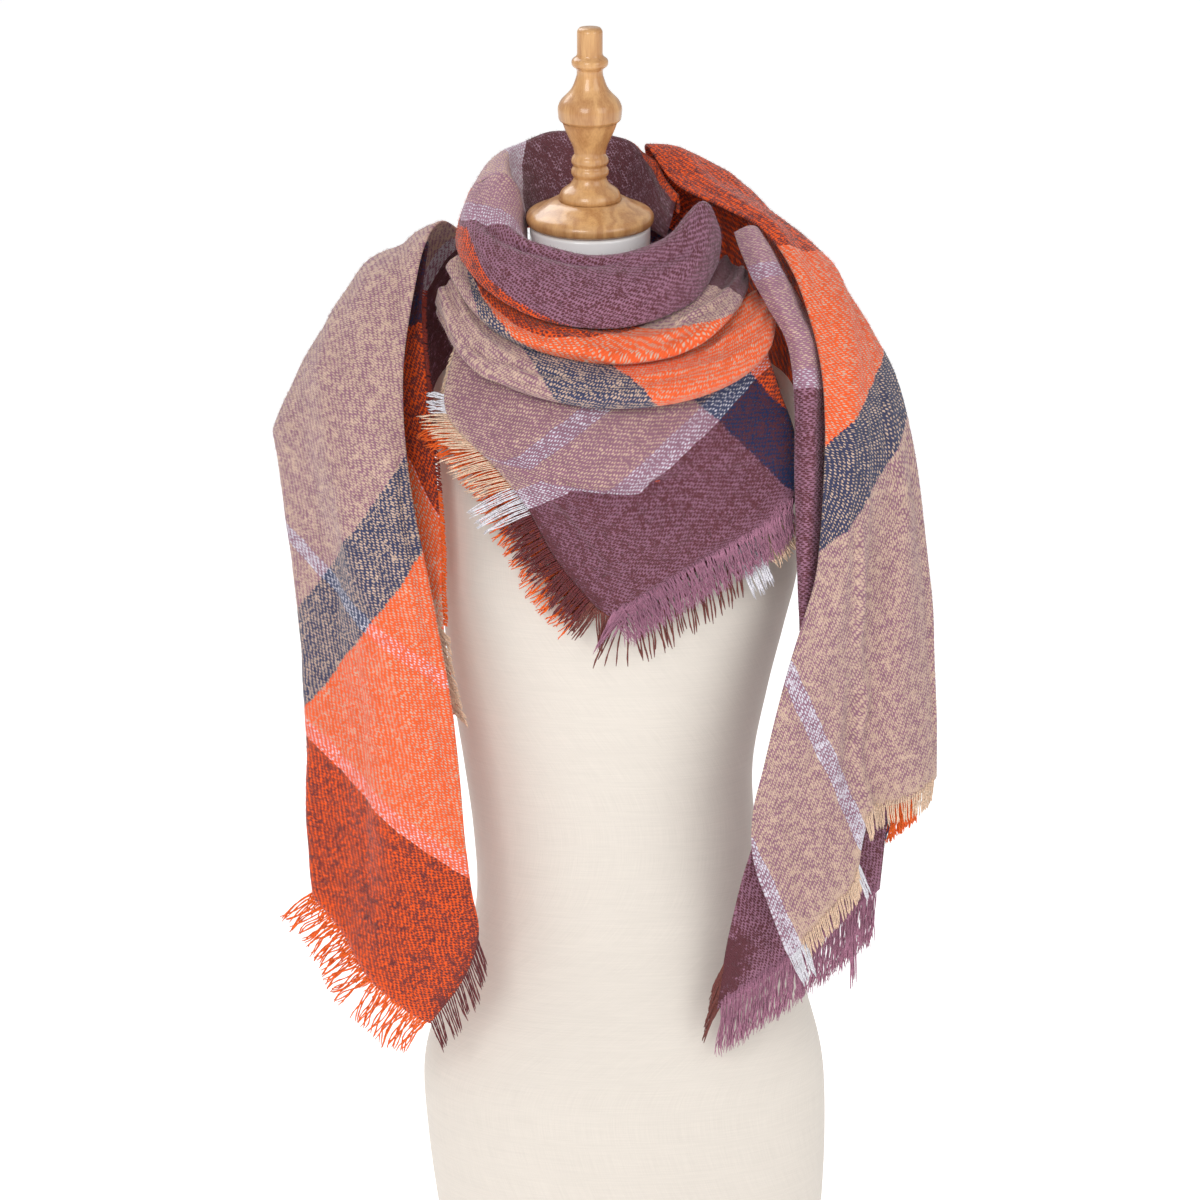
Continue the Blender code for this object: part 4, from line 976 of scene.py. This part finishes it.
class Graph:
    """Short names for the nodes of one material."""

    def __init__(self, name):
        self.material = bpy.data.materials.new(name)
        self.material.use_nodes = True
        self.tree = self.material.node_tree
        self.shader = self.tree.nodes["Principled BSDF"]

    def put(self, value, socket):
        if hasattr(value, "is_output"):
            self.tree.links.new(value, socket)
        else:
            socket.default_value = value

    def node(self, kind, **settings):
        made = self.tree.nodes.new(kind)
        for key, value in settings.items():
            setattr(made, key, value)
        return made

    def math(self, operation, a, b=0.0, c=0.0, clamp=False):
        made = self.node("ShaderNodeMath", operation=operation, use_clamp=clamp)
        for socket, value in zip(made.inputs, (a, b, c)):
            self.put(value, socket)
        return made.outputs[0]

    def read(self, attribute):
        return self.node("ShaderNodeAttribute", attribute_name=attribute).outputs["Vector"]

    def split(self, vector):
        made = self.node("ShaderNodeSeparateXYZ")
        self.put(vector, made.inputs[0])
        return made.outputs

    def join(self, x, y, z=0.0):
        made = self.node("ShaderNodeCombineXYZ")
        for socket, value in zip(made.inputs, (x, y, z)):
            self.put(value, socket)
        return made.outputs[0]

    def noise(self, vector, scale, detail=2.0, rough=0.5):
        made = self.node("ShaderNodeTexNoise")
        self.put(vector, made.inputs["Vector"])
        made.inputs["Scale"].default_value = scale
        made.inputs["Detail"].default_value = detail
        made.inputs["Roughness"].default_value = rough
        return made.outputs["Fac"]

    def ramp(self, value, stops, steps=False):
        made = self.node("ShaderNodeValToRGB")
        made.color_ramp.interpolation = "CONSTANT" if steps else "LINEAR"
        points = made.color_ramp.elements
        while len(points) < len(stops):
            points.new(0.5)
        while len(points) > len(stops):
            points.remove(points[-1])
        for point, (spot, color) in zip(points, stops):
            point.position = spot
            point.color = color
        self.put(value, made.inputs[0])
        return made.outputs

    def mix(self, share, a, b, kind="MIX"):
        made = self.node("ShaderNodeMix", data_type="RGBA", blend_type=kind)
        self.put(share, made.inputs[0])
        self.put(a, made.inputs[6])
        self.put(b, made.inputs[7])
        return made.outputs[2]

    def smooth(self, value, low, high):
        made = self.node("ShaderNodeMapRange", interpolation_type="SMOOTHSTEP")
        self.put(value, made.inputs["Value"])
        self.put(low, made.inputs["From Min"])
        self.put(high, made.inputs["From Max"])
        return made.outputs["Result"]

    def shaded(self, color, share):
        made = self.node("ShaderNodeVectorMath", operation="SCALE")
        self.put(color, made.inputs[0])
        self.put(share, made.inputs["Scale"])
        return made.outputs[0]

    def bump(self, height, strength, distance):
        made = self.node("ShaderNodeBump")
        self.put(height, made.inputs["Height"])
        made.inputs["Strength"].default_value = strength
        made.inputs["Distance"].default_value = distance
        self.put(made.outputs["Normal"], self.shader.inputs["Normal"])

    def finish(self, color, roughness, sheen=0.0, sheen_rough=0.5, coat=0.0):
        self.put(color, self.shader.inputs["Base Color"])
        self.shader.inputs["Roughness"].default_value = roughness
        self.shader.inputs["Sheen Weight"].default_value = sheen
        self.shader.inputs["Sheen Roughness"].default_value = sheen_rough
        self.shader.inputs["Coat Weight"].default_value = coat
        return self.material


ROW = 1.75  # from one cross yarn to the next
FLOAT = 4.8  # from one float of a cross yarn to its next
TWILL = 0.38  # share of a float that each row is shifted by
ROUND_YARN = 1.7  # how sharply a cross yarn falls off to its sides
BLUR = 0.26  # how softly one yarn gives way to the other
UNDER = 0.06  # how much of the lower yarn always shows
FULL_LINE, LINE_PER_SHARE = 2.72, -1.7  # how far a cross yarn must rise to show, from its band's shares

# noise over the cloth, in a plane of its own: how fine, its detail, and how much
Noise = namedtuple("Noise", "plane scale detail size")
LONG_WANDER = Noise(0.0, 0.035, 3.0, 7.0)  # the long bands stray, in mm
CROSS_WANDER = Noise(5.0, 0.05, 2.0, 5.0)  # the cross bands stray, in mm
ROW_WANDER = Noise(3.0, 0.30, 2.0, 1.6)  # the rows stray, in mm
PATCHES = Noise(1.0, 1.1, 2.0, 1.2)  # the brushing covers unevenly

# noise along each cross yarn: how fast along it and from row to row, its plane, detail, and how much
Uneven = namedtuple("Uneven", "along row plane detail size")
JITTER = Uneven(0.11, 3.7, 2.0, 1.0, 1.1)  # its floats are off, in turns
THICKNESS = Uneven(0.24, 1.9, 7.0, 2.0, 1.5)  # it is thick and thin


BAND_MARGIN = 10  # mm past the outermost starts
SHARE_LIFT = 0.5  # keeps a yarn's share above zero in the ramp's alpha; FULL_LINE allows for two of them


def banded(g, value, bands):
    """The yarn at a place, from the table of its bands, with its share in the alpha."""
    # a ramp has only 256 steps, so it spans no more than where its own bands start
    starts = [band.start for band in bands[1:]] or [0]
    low = min(starts) - BAND_MARGIN
    reach = max(starts) + BAND_MARGIN - low
    share = g.math("MULTIPLY_ADD", value, 1 / reach, -low / reach)
    stops = []
    for band in bands:
        spot = max((band.start - low) / reach, 0)
        stops.append((spot, (*band.yarn.color, band.yarn.share + SHARE_LIFT)))
    return g.ramp(share, stops, steps=True)


def off_middle(g, vector, scale, detail, size):
    """Noise about zero, over a given size."""
    return g.math("MULTIPLY", g.math("SUBTRACT", g.noise(vector, scale, detail), 0.5), size)


def over_cloth(g, t, q, noise):
    return off_middle(g, g.join(t, q, noise.plane), noise.scale, noise.detail, noise.size)


def along_yarn(g, t, row, uneven):
    place = g.join(g.math("MULTIPLY", t, uneven.along), g.math("MULTIPLY", row, uneven.row), uneven.plane)
    return off_middle(g, place, 1.0, uneven.detail, uneven.size)


def wool(name, plaid):
    """Brushed two-colour twill in the bands of a plaid."""
    g = Graph(name)
    p, q, t = g.split(g.read("weave"))
    gain, off, _ = g.split(g.read("edges"))
    p = g.math("ADD", p, over_cloth(g, t, q, LONG_WANDER))
    q = g.math("ADD", q, over_cloth(g, t, q, CROSS_WANDER))
    q_fine = g.math("ADD", q, over_cloth(g, t, q, ROW_WANDER))

    rows = g.math("DIVIDE", q_fine, ROW)
    row = g.math("FLOOR", rows)
    in_row = g.math("SINE", g.math("MULTIPLY", g.math("FRACT", rows), math.pi))
    jitter = along_yarn(g, t, row, JITTER)
    turns = g.math("ADD", jitter, g.math("MULTIPLY_ADD", row, TWILL, g.math("DIVIDE", t, FLOAT)))
    wave = g.math("SINE", g.math("MULTIPLY", turns, 2 * math.pi))
    thick = along_yarn(g, t, row, THICKNESS)
    cloud = g.noise(g.join(t, q, 9.0), 0.13, 3.0)
    nap = over_cloth(g, t, q, PATCHES)

    warp = banded(g, g.math("MULTIPLY_ADD", wave, 0.8, p), plaid.warp)
    weft = banded(g, g.math("MULTIPLY_ADD", g.math("ADD", row, 0.5), ROW, off), plaid.weft)

    # each band lets its own share of the cross yarns through, and the brushing blurs which is on top
    seen = g.math("MULTIPLY", g.math("MULTIPLY_ADD", wave, 0.68, 0.62), g.math("POWER", in_row, ROUND_YARN))
    seen = g.math("ADD", g.math("ADD", seen, thick), nap)
    seen = g.math("ADD", seen, g.math("MULTIPLY", g.math("SUBTRACT", cloud, 0.5), 1.3))
    share = g.math("ADD", g.math("ADD", warp[1], weft[1]), gain)
    line = g.math("MULTIPLY_ADD", share, LINE_PER_SHARE, FULL_LINE)
    on_top = g.smooth(g.math("SUBTRACT", seen, line), -BLUR, BLUR)
    on_top = g.math("MULTIPLY_ADD", on_top, 1 - 2 * UNDER, UNDER)
    color = g.mix(on_top, warp[0], weft[0])

    fibre = g.noise(g.join(t, q, 1.0), 1.3, 3.0, 0.7)
    # the tone: fibres lighter and darker at random, painted shade in the grooves between rows of cross
    # yarns, and a slow mottle
    light = g.math("MULTIPLY_ADD", fibre, 0.70, 0.65)
    light = g.math("MULTIPLY", light, g.math("MULTIPLY_ADD", in_row, 0.16, 0.88))
    light = g.math("MULTIPLY", light, g.math("MULTIPLY_ADD", cloud, 0.34, 0.83))

    height = g.math("MULTIPLY_ADD", in_row, g.math("MULTIPLY_ADD", wave, 0.3, 0.5), fibre)
    height = g.math("MULTIPLY_ADD", thick, 0.3, height)
    g.bump(height, 0.75, 0.0008)
    return g.finish(g.shaded(color, light), 0.95, sheen=0.30, sheen_rough=0.28)


def yarn_look(name, color):
    """A loose brushed yarn of the fringe."""
    g = Graph(name)
    spot = g.read("weave")
    along, around, _ = g.split(spot)
    twist = g.math("SINE", g.math("MULTIPLY_ADD", around, 6.283, g.math("MULTIPLY", along, 2.6)))
    fuzz = g.noise(spot, 0.8, 3.0)
    tone = g.math("MULTIPLY_ADD", fuzz, 0.8, g.math("MULTIPLY_ADD", twist, 0.10, 0.60))
    g.bump(g.math("ADD", twist, fuzz), 0.6, 0.0003)
    return g.finish(g.shaded(color, tone), 0.95, sheen=0.08)


LINEN = (0.690, 0.635, 0.572)
THREAD = 1.15  # its pitch


def linen_look():
    """Plain tabby linen, with slubs, and a stitched seam where the panels meet."""
    g = Graph("linen_cover")
    around, up, seam = g.split(g.read("place"))
    slow = g.noise(g.join(around, up, 0.0), 0.02, 3.0)
    warp_slub = g.noise(g.join(around, g.math("MULTIPLY", up, 0.03), 0.0), 1.1, 2.0)
    weft_slub = g.noise(g.join(g.math("MULTIPLY", around, 0.03), up, 5.0), 1.1, 2.0)
    a = g.math("SINE", g.math("MULTIPLY", around, 2 * math.pi / THREAD))
    b = g.math("SINE", g.math("MULTIPLY", up, 2 * math.pi / THREAD))
    tabby = g.math("MULTIPLY", a, b)
    slubs = g.math("ADD", warp_slub, weft_slub)
    tone = g.math("MULTIPLY_ADD", slubs, 0.13, 0.85)
    tone = g.math("MULTIPLY_ADD", tabby, 0.02, tone)
    tone = g.math("MULTIPLY_ADD", slow, 0.04, tone)
    near = g.smooth(seam, 0.1, 1.1)
    tone = g.math("MULTIPLY", tone, g.math("MULTIPLY_ADD", near, 0.07, 0.93))
    height = g.math("MULTIPLY_ADD", tabby, 0.35, slubs)
    height = g.math("MULTIPLY_ADD", near, 0.8, height)
    g.bump(height, 0.30, 0.0003)
    return g.finish(g.shaded(LINEN, tone), 0.9, sheen=0.08)


def wood_look(name, tone_low, tone_high):
    """Turned, lacquered wood: long grain with darker lines, and faint turning marks."""
    g = Graph(name)
    coord = g.node("ShaderNodeTexCoord").outputs["Object"]
    x, y, z = g.split(coord)
    wide = g.join(x, y, g.math("MULTIPLY", z, 0.12))
    bend = g.noise(wide, 28.0, 3.0)
    rings = g.math("SINE", g.math("MULTIPLY_ADD", bend, 34.0, g.math("MULTIPLY", x, 300.0)))
    pores = g.noise(g.join(x, y, g.math("MULTIPLY", z, 0.04)), 700.0, 2.0)
    grain = g.math("MULTIPLY_ADD", rings, 0.22, g.math("MULTIPLY_ADD", pores, 0.7, 0.15))
    color = g.ramp(grain, ((0.15, (*tone_low, 1)), (0.85, (*tone_high, 1))))[0]
    marks = g.math("SINE", g.math("MULTIPLY", z, 5200.0))
    g.bump(g.math("MULTIPLY_ADD", marks, 0.12, pores), 0.12, 0.0004)
    return g.finish(color, 0.32, coat=0.35)


def gloss_look():
    g = Graph("white_gloss")
    coord = g.node("ShaderNodeTexCoord").outputs["Object"]
    cloudy = g.noise(coord, 14.0, 2.0)
    color = g.ramp(cloudy, ((0.0, (0.90, 0.90, 0.89, 1)), (1.0, (0.95, 0.95, 0.94, 1))))[0]
    g.bump(g.noise(coord, 60.0, 2.0), 0.05, 0.0006)
    return g.finish(color, 0.22, coat=0.3)


# ---- the form ----


def torso_ring(level, angles):
    middle = (level.left + level.right) / 2
    half = (level.right - level.left) / 2
    ring = []
    for angle in angles:
        c, s = math.cos(angle), math.sin(angle)
        x = middle + half * math.copysign(abs(c) ** TORSO_SQUARE, c)
        depth = level.back if s > 0 else -level.front
        y = depth * math.copysign(abs(s) ** TORSO_SQUARE, s)
        lean = min(max((level.z - LEAN_FROM) / (TORSO[-1].z - LEAN_FROM), 0), 1)
        ring.append((x, y, level.z + y * math.tan(TILT) * lean))
    return ring


def build_torso():
    angles = np.linspace(0, 2 * math.pi, TORSO_SIDES, endpoint=False)
    rings = loft([torso_ring(level, angles) for level in TORSO], TORSO_LEVELS)
    closed = np.concatenate([rings, rings[:, :1]], 1)
    around = run_along(closed, 1, (1, 1, 0))[:, :-1]
    up = run_along(rings, 0, (1, 1, 1))
    seam = np.full(rings.shape[:2], 99.0)
    for degrees in PRINCESS_SEAMS:
        # degrees from the front; the rings' own angles start at the right side
        at = (math.radians(degrees) - math.pi / 2) % (2 * math.pi)
        spot = at / (2 * math.pi) * TORSO_SIDES
        low, part = int(spot) % TORSO_SIDES, spot % 1
        high = (low + 1) % TORSO_SIDES
        line = around[:, low] * (1 - part) + np.where(high, around[:, high], around[:, low]) * part
        seam = np.minimum(seam, np.abs(around - line[:, None]))
    values = np.stack([around, up, seam], 2)
    piece = ringed("form_torso_linen", rings, values, linen_look())
    stand_for(piece, "form_torso")


def turned(name, node, profile, foot, look):
    """A turned piece on the neck's axis, which leans forward."""
    side = np.array([1.0, 0, 0])
    front = np.cross(NECK_UP, side)
    fine = eased(profile)
    rings, values = [], []
    for height, radius in fine:
        ring, marks = [], []
        for k in range(TURNED_SIDES):
            a = 2 * math.pi * k / TURNED_SIDES
            out = math.cos(a) * side + math.sin(a) * front
            ring.append(foot + NECK_UP * height + radius * out)
            marks.append((a, height, radius))
        rings.append(ring)
        values.append(marks)
    stand_for(ringed(name, rings, values, look), node)


def eased(profile):
    """A profile with each of its corners taken off in three short steps."""
    points = [np.array(row, float) for row in profile]
    fine = [points[0]]
    for before, here, after in zip(points, points[1:], points[2:]):
        cut = min(np.linalg.norm(here - before), np.linalg.norm(after - here)) * CORNER_CUT
        start = here + (before - here) / np.linalg.norm(before - here) * cut
        end = here + (after - here) / np.linalg.norm(after - here) * cut
        for t in (0, 0.33, 0.67, 1):
            fine.append((1 - t) ** 2 * start + 2 * t * (1 - t) * here + t * t * end)
    fine.append(points[-1])
    return fine


def build_form():
    build_torso()
    foot = np.array(NECK_TOP)
    wood = wood_look("honey_wood", (0.42, 0.19, 0.065), (0.66, 0.37, 0.15))
    turned("neck_band_gloss", "form_neck_band", NECK_BAND, foot, gloss_look())
    turned("cap_turned", "form_cap", CAP, foot + NECK_UP * CAP_LIFT, wood)
    turned("finial_turned", "form_finial", FINIAL, foot + NECK_UP * FINIAL_LIFT, wood)


# ---- the scarf ----

# the record's slot of each stretch, and the flat size of what it shows, in metres
Sheet = namedtuple("Sheet", "slot width length")


def along_lie(u, v, lie):
    """Places square to the long bands and to the cross bands, and along the cross yarns."""
    warp, weft = math.radians(lie.warp), math.radians(lie.weft)
    p = -u * math.sin(warp) + v * math.cos(warp)
    q = -u * math.sin(weft) + v * math.cos(weft)
    t = u * math.cos(weft) + v * math.sin(weft)
    return np.stack([p, q, t], -1)


def place_on_cloth(flat, plaid):
    """Where each point lies between the bands of its piece."""
    u, v = flat[:, :, 0], flat[:, :, 1]
    place = along_lie(u, v, plaid.lies[0])
    for before, lie in zip(plaid.lies, plaid.lies[1:]):
        share = np.clip((v - before.height) / (lie.height - before.height), 0, 1)
        share = smooth_step(share)[:, :, None]
        middle = (before.height + lie.height) / 2
        shift = along_lie(plaid.line, middle, before) - along_lie(plaid.line, middle, lie)
        place = place * (1 - share) + (along_lie(u, v, lie) + shift) * share
    for slack in plaid.slacks:
        near = np.exp(-((u - slack.u) ** 2 + (v - slack.v) ** 2) / slack.reach**2)
        place[:, :, 0] += slack.p * near
        place[:, :, 1] += slack.q * near
    return place


def along_edges(name, grid, flat):
    """How much the cross yarns gain near the fringed rims, and how far their bands stand off."""
    rows, cols = grid.shape[:2]
    s, t = np.meshgrid(np.linspace(0, 1, rows), np.linspace(0, 1, cols), indexing="ij")
    gain = np.zeros((rows, cols))
    for hem in HEMS.get(name, ()):
        if hem.rim == "first":
            away, where = run_along(grid, 0, (1, 1, 1)), t
        else:
            away, where = run_along(grid, 1, (1, 1, 1)), s
            if hem.rim == "right":
                away = away[:, -1:] - away
        inside = np.clip((where - hem.start) / HEM_FADE + 1, 0, 1)
        inside = inside * np.clip((hem.end - where) / HEM_FADE + 1, 0, 1)
        gain += hem.gain * inside * np.exp(-((away / hem.reach) ** 2))
    off = np.zeros((rows, cols))
    for pleat in PLEATS.get(name, ()):
        line = pleat.v + pleat.slope * (flat[:, :, 0] - pleat.u)
        share = np.clip((line - flat[:, :, 1]) / (2 * pleat.reach) + 0.5, 0, 1)
        off += pleat.off * smooth_step(share)
    return np.stack([gain, off, off * 0], 2)


def rim_of(grid, side):
    """One rim of a grid, and the way off the cloth at each of its points."""
    if side == "first":
        return grid[0], grid[0] - grid[2]
    edge, inner = (0, 2) if side.startswith("left") else (-1, -3)
    rim, leave = grid[:, edge], grid[:, edge] - grid[:, inner]
    if side.endswith("tip"):
        # the rim goes on round the tip, to its middle
        middle = grid.shape[1] // 2
        round_tip = np.arange(1, middle) if edge == 0 else np.arange(grid.shape[1] - 2, middle, -1)
        rim = np.concatenate([rim, grid[-1, round_tip]])
        leave = np.concatenate([leave, grid[-1, round_tip] - grid[-3, round_tip]])
    return rim, leave


def rows_between(values, run, where):
    return np.stack([np.interp(where, run, values[:, c]) for c in range(3)], 1)


def yarn_paths(grid, side, tuft, rng):
    """The lines of one tuft's yarns, as (yarns, steps + 1, 3)."""
    edge, leave = rim_of(grid, side)
    run = run_of(edge)
    where = np.linspace(tuft.start, tuft.end, tuft.count) * run[-1]
    where += rng.uniform(-0.5, 0.5, tuft.count)
    root = rows_between(edge, run, where)
    off = rows_between(unit(leave), run, where)
    way = unit(off * 0.5 + np.array(tuft.way))
    along = unit(np.gradient(root, axis=0))
    face = unit(np.cross(along, way))

    length = tuft.length * rng.uniform(*LENGTHS, tuft.count)
    tip = root + way * length[:, None]
    # neighbours draw together in bunches of a few yarns
    bunch = np.zeros_like(tip)
    k = 0
    while k < tuft.count:
        size = rng.randint(*BUNCH)
        bunch[k : k + size] = tip[k : k + size].mean(0) + rng.normal(0, 0.9, 3)
        k += size
    tip = tip + (bunch - tip) * tuft.gather * rng.uniform(0.75, 1.0, (tuft.count, 1))

    t = np.linspace(0, 1, STEPS + 1)[None, :, None]
    # a yarn starts a little in from the rim, and the fuzzy ones start on the cloth's front
    deep = tuft.inset > DEEP
    inset = rng.uniform(0.3 if deep else 0.9, 1, (tuft.count, 1, 1)) * tuft.inset
    front = np.where(face[:, 1:2] < 0, face, -face)[:, None] * (1.8 if deep else 0.0)
    straight = root[:, None] - off[:, None] * inset * (1 - t) + (tip - root)[:, None] * t + front * (1 - t)
    each = (tuft.count, 1, 1)
    swing = tuft.sway * np.sin(t * rng.uniform(2.0, 6.5, each) + rng.uniform(0, 6.3, each))
    sides = along[:, None] * swing * t
    depth = 0.6 * tuft.sway * np.sin(t * rng.uniform(2, 6, each) + rng.uniform(0, 6.3, each))
    depth = face[:, None] * depth * t
    sag = DOWN * (t * t * SAG * length[:, None, None])
    return straight + sides + depth + sag


def build_yarns(name, loose, grid, looks, seed):
    """All the loose yarns of one fringe, as four-sided tubes in one piece."""
    rng = np.random.RandomState(seed)
    points, faces, values, marks = [], [], [], []
    dyes = []
    for tuft in loose.tufts:
        if tuft.dye not in dyes:
            dyes.append(tuft.dye)
        for path in yarn_paths(grid, loose.rim, tuft, rng):
            way = unit(np.gradient(path, axis=0))
            side = unit(np.cross(way, [0.3, 1.0, 0.2]))
            other = np.cross(way, side)
            run = run_of(path)
            first = len(points)
            offset = rng.uniform(0, 500)
            for k in range(STEPS + 1):
                share = k / STEPS
                size = tuft.width / 2 * (1.0 if k < STEPS else YARN_TIP) * rng.uniform(0.85, 1.15)
                for n in range(4):
                    a = math.pi / 2 * n + share * YARN_TURN
                    points.append(path[k] + (side[k] * math.cos(a) + other[k] * math.sin(a)) * size)
                    values.append((run[k] + offset, n / 4, offset))
            ends = len(points) - 4
            faces.append((first + 3, first + 2, first + 1, first))
            faces.append((ends, ends + 1, ends + 2, ends + 3))
            marks += [dyes.index(tuft.dye)] * 2
            for k in range(STEPS):
                a = first + 4 * k
                for n in range(4):
                    b = (n + 1) % 4
                    faces.append((a + n, a + b, a + 4 + b, a + 4 + n))
                    marks.append(dyes.index(tuft.dye))
    piece = body(name + "_yarns", points, faces, looks[dyes[0]])
    for dye in dyes[1:]:
        piece.data.materials.append(looks[dye])
    piece.data.polygons.foreach_set("material_index", marks)
    keep_vectors(piece, "weave", values)
    face_out(piece)
    stand_for(piece, name)


def build_fringes():
    looks = {dye: yarn_look(dye + "_yarn_wool", color) for dye, color in DYES.items()}
    for seed, (name, loose) in enumerate(LOOSE.items()):
        build_yarns(name, loose, CLOTH[loose.cloth][0], looks, YARN_SEED + seed)


def build_scarf():
    for name, (grid, flat) in CLOTH.items():
        plaid = PLAIDS[name]
        layers = {"weave": place_on_cloth(flat, plaid), "edges": along_edges(name, grid, flat)}
        piece = shell(name + "_cloth", grid, layers, wool(name + "_wool", plaid))
        stand_for(piece, name)


# ---- floor, light and camera ----


FLOOR_RADIUS = 30000
FLOOR_SIDES = 64
FLOOR_DROP = 0.4  # below the part, so that the two don't touch
FLOOR_GLOW = 0.50
WORLD_LIGHT = 0.56


def build_stage():
    g = Graph("pale_floor")
    coord = g.node("ShaderNodeTexCoord").outputs["Object"]
    tones = ((0.0, (0.90, 0.90, 0.90, 1)), (1.0, (0.93, 0.93, 0.93, 1)))
    color = g.ramp(g.noise(coord, 2.0, 2.0), tones)[0]
    look = g.finish(color, 0.9)
    g.shader.inputs["Emission Color"].default_value = (1, 1, 1, 1)
    g.shader.inputs["Emission Strength"].default_value = FLOOR_GLOW
    points = [(0, 0, 0)]
    for k in range(FLOOR_SIDES):
        a = 2 * math.pi * k / FLOOR_SIDES
        points.append((FLOOR_RADIUS * math.cos(a), FLOOR_RADIUS * math.sin(a), 0))
    faces = [(0, k + 1, (k + 1) % FLOOR_SIDES + 1) for k in range(FLOOR_SIDES)]
    floor = body("floor", np.array(points) - [0, 0, FLOOR_DROP], faces, look)


Lamp = namedtuple("Lamp", "name spot aim size power")
LAMPS = (
    Lamp("key", (-1.0, -2.7, 2.3), (0, 0, 0.6), 1.3, 38),
    Lamp("fill", (1.9, -1.9, 2.0), (0, 0, 0.6), 1.6, 17),
    Lamp("rim", (-1.2, 1.5, 2.8), (0, 0, 0.7), 1.6, 30),
)
CAMERA_SPOT = (-0.026, -2.8312, 1.3506)
CAMERA_TILT = math.radians(75)
LENS = 100
SENSOR = 36


def build_light():
    world = bpy.data.worlds.new("studio")
    world.use_nodes = True
    world.node_tree.nodes["Background"].inputs["Color"].default_value = (1, 1, 1, 1)
    world.node_tree.nodes["Background"].inputs["Strength"].default_value = WORLD_LIGHT
    bpy.context.scene.world = world
    for lamp in LAMPS:
        light = bpy.data.lights.new(lamp.name, "AREA")
        light.size = lamp.size
        light.energy = lamp.power
        made = bpy.data.objects.new(lamp.name, light)
        way = np.array(lamp.aim) - np.array(lamp.spot)
        made.location = lamp.spot
        made.rotation_mode = "XYZ"
        made.rotation_euler = (
            math.acos(-way[2] / np.linalg.norm(way)),
            0,
            math.atan2(way[1], way[0]) - math.pi / 2,
        )
        bpy.context.scene.collection.objects.link(made)


def build_camera():
    lens = bpy.data.cameras.new("camera")
    lens.lens = LENS
    lens.sensor_width = SENSOR
    made = bpy.data.objects.new("camera", lens)
    made.location = CAMERA_SPOT
    made.rotation_euler = (CAMERA_TILT, 0, 0)
    bpy.context.scene.collection.objects.link(made)
    bpy.context.scene.camera = made


bpy.context.scene.view_settings.view_transform = "Standard"
build_camera()
build_light()
build_stage()
CLOTH = stretches()
build_form()
build_scarf()
build_fringes()
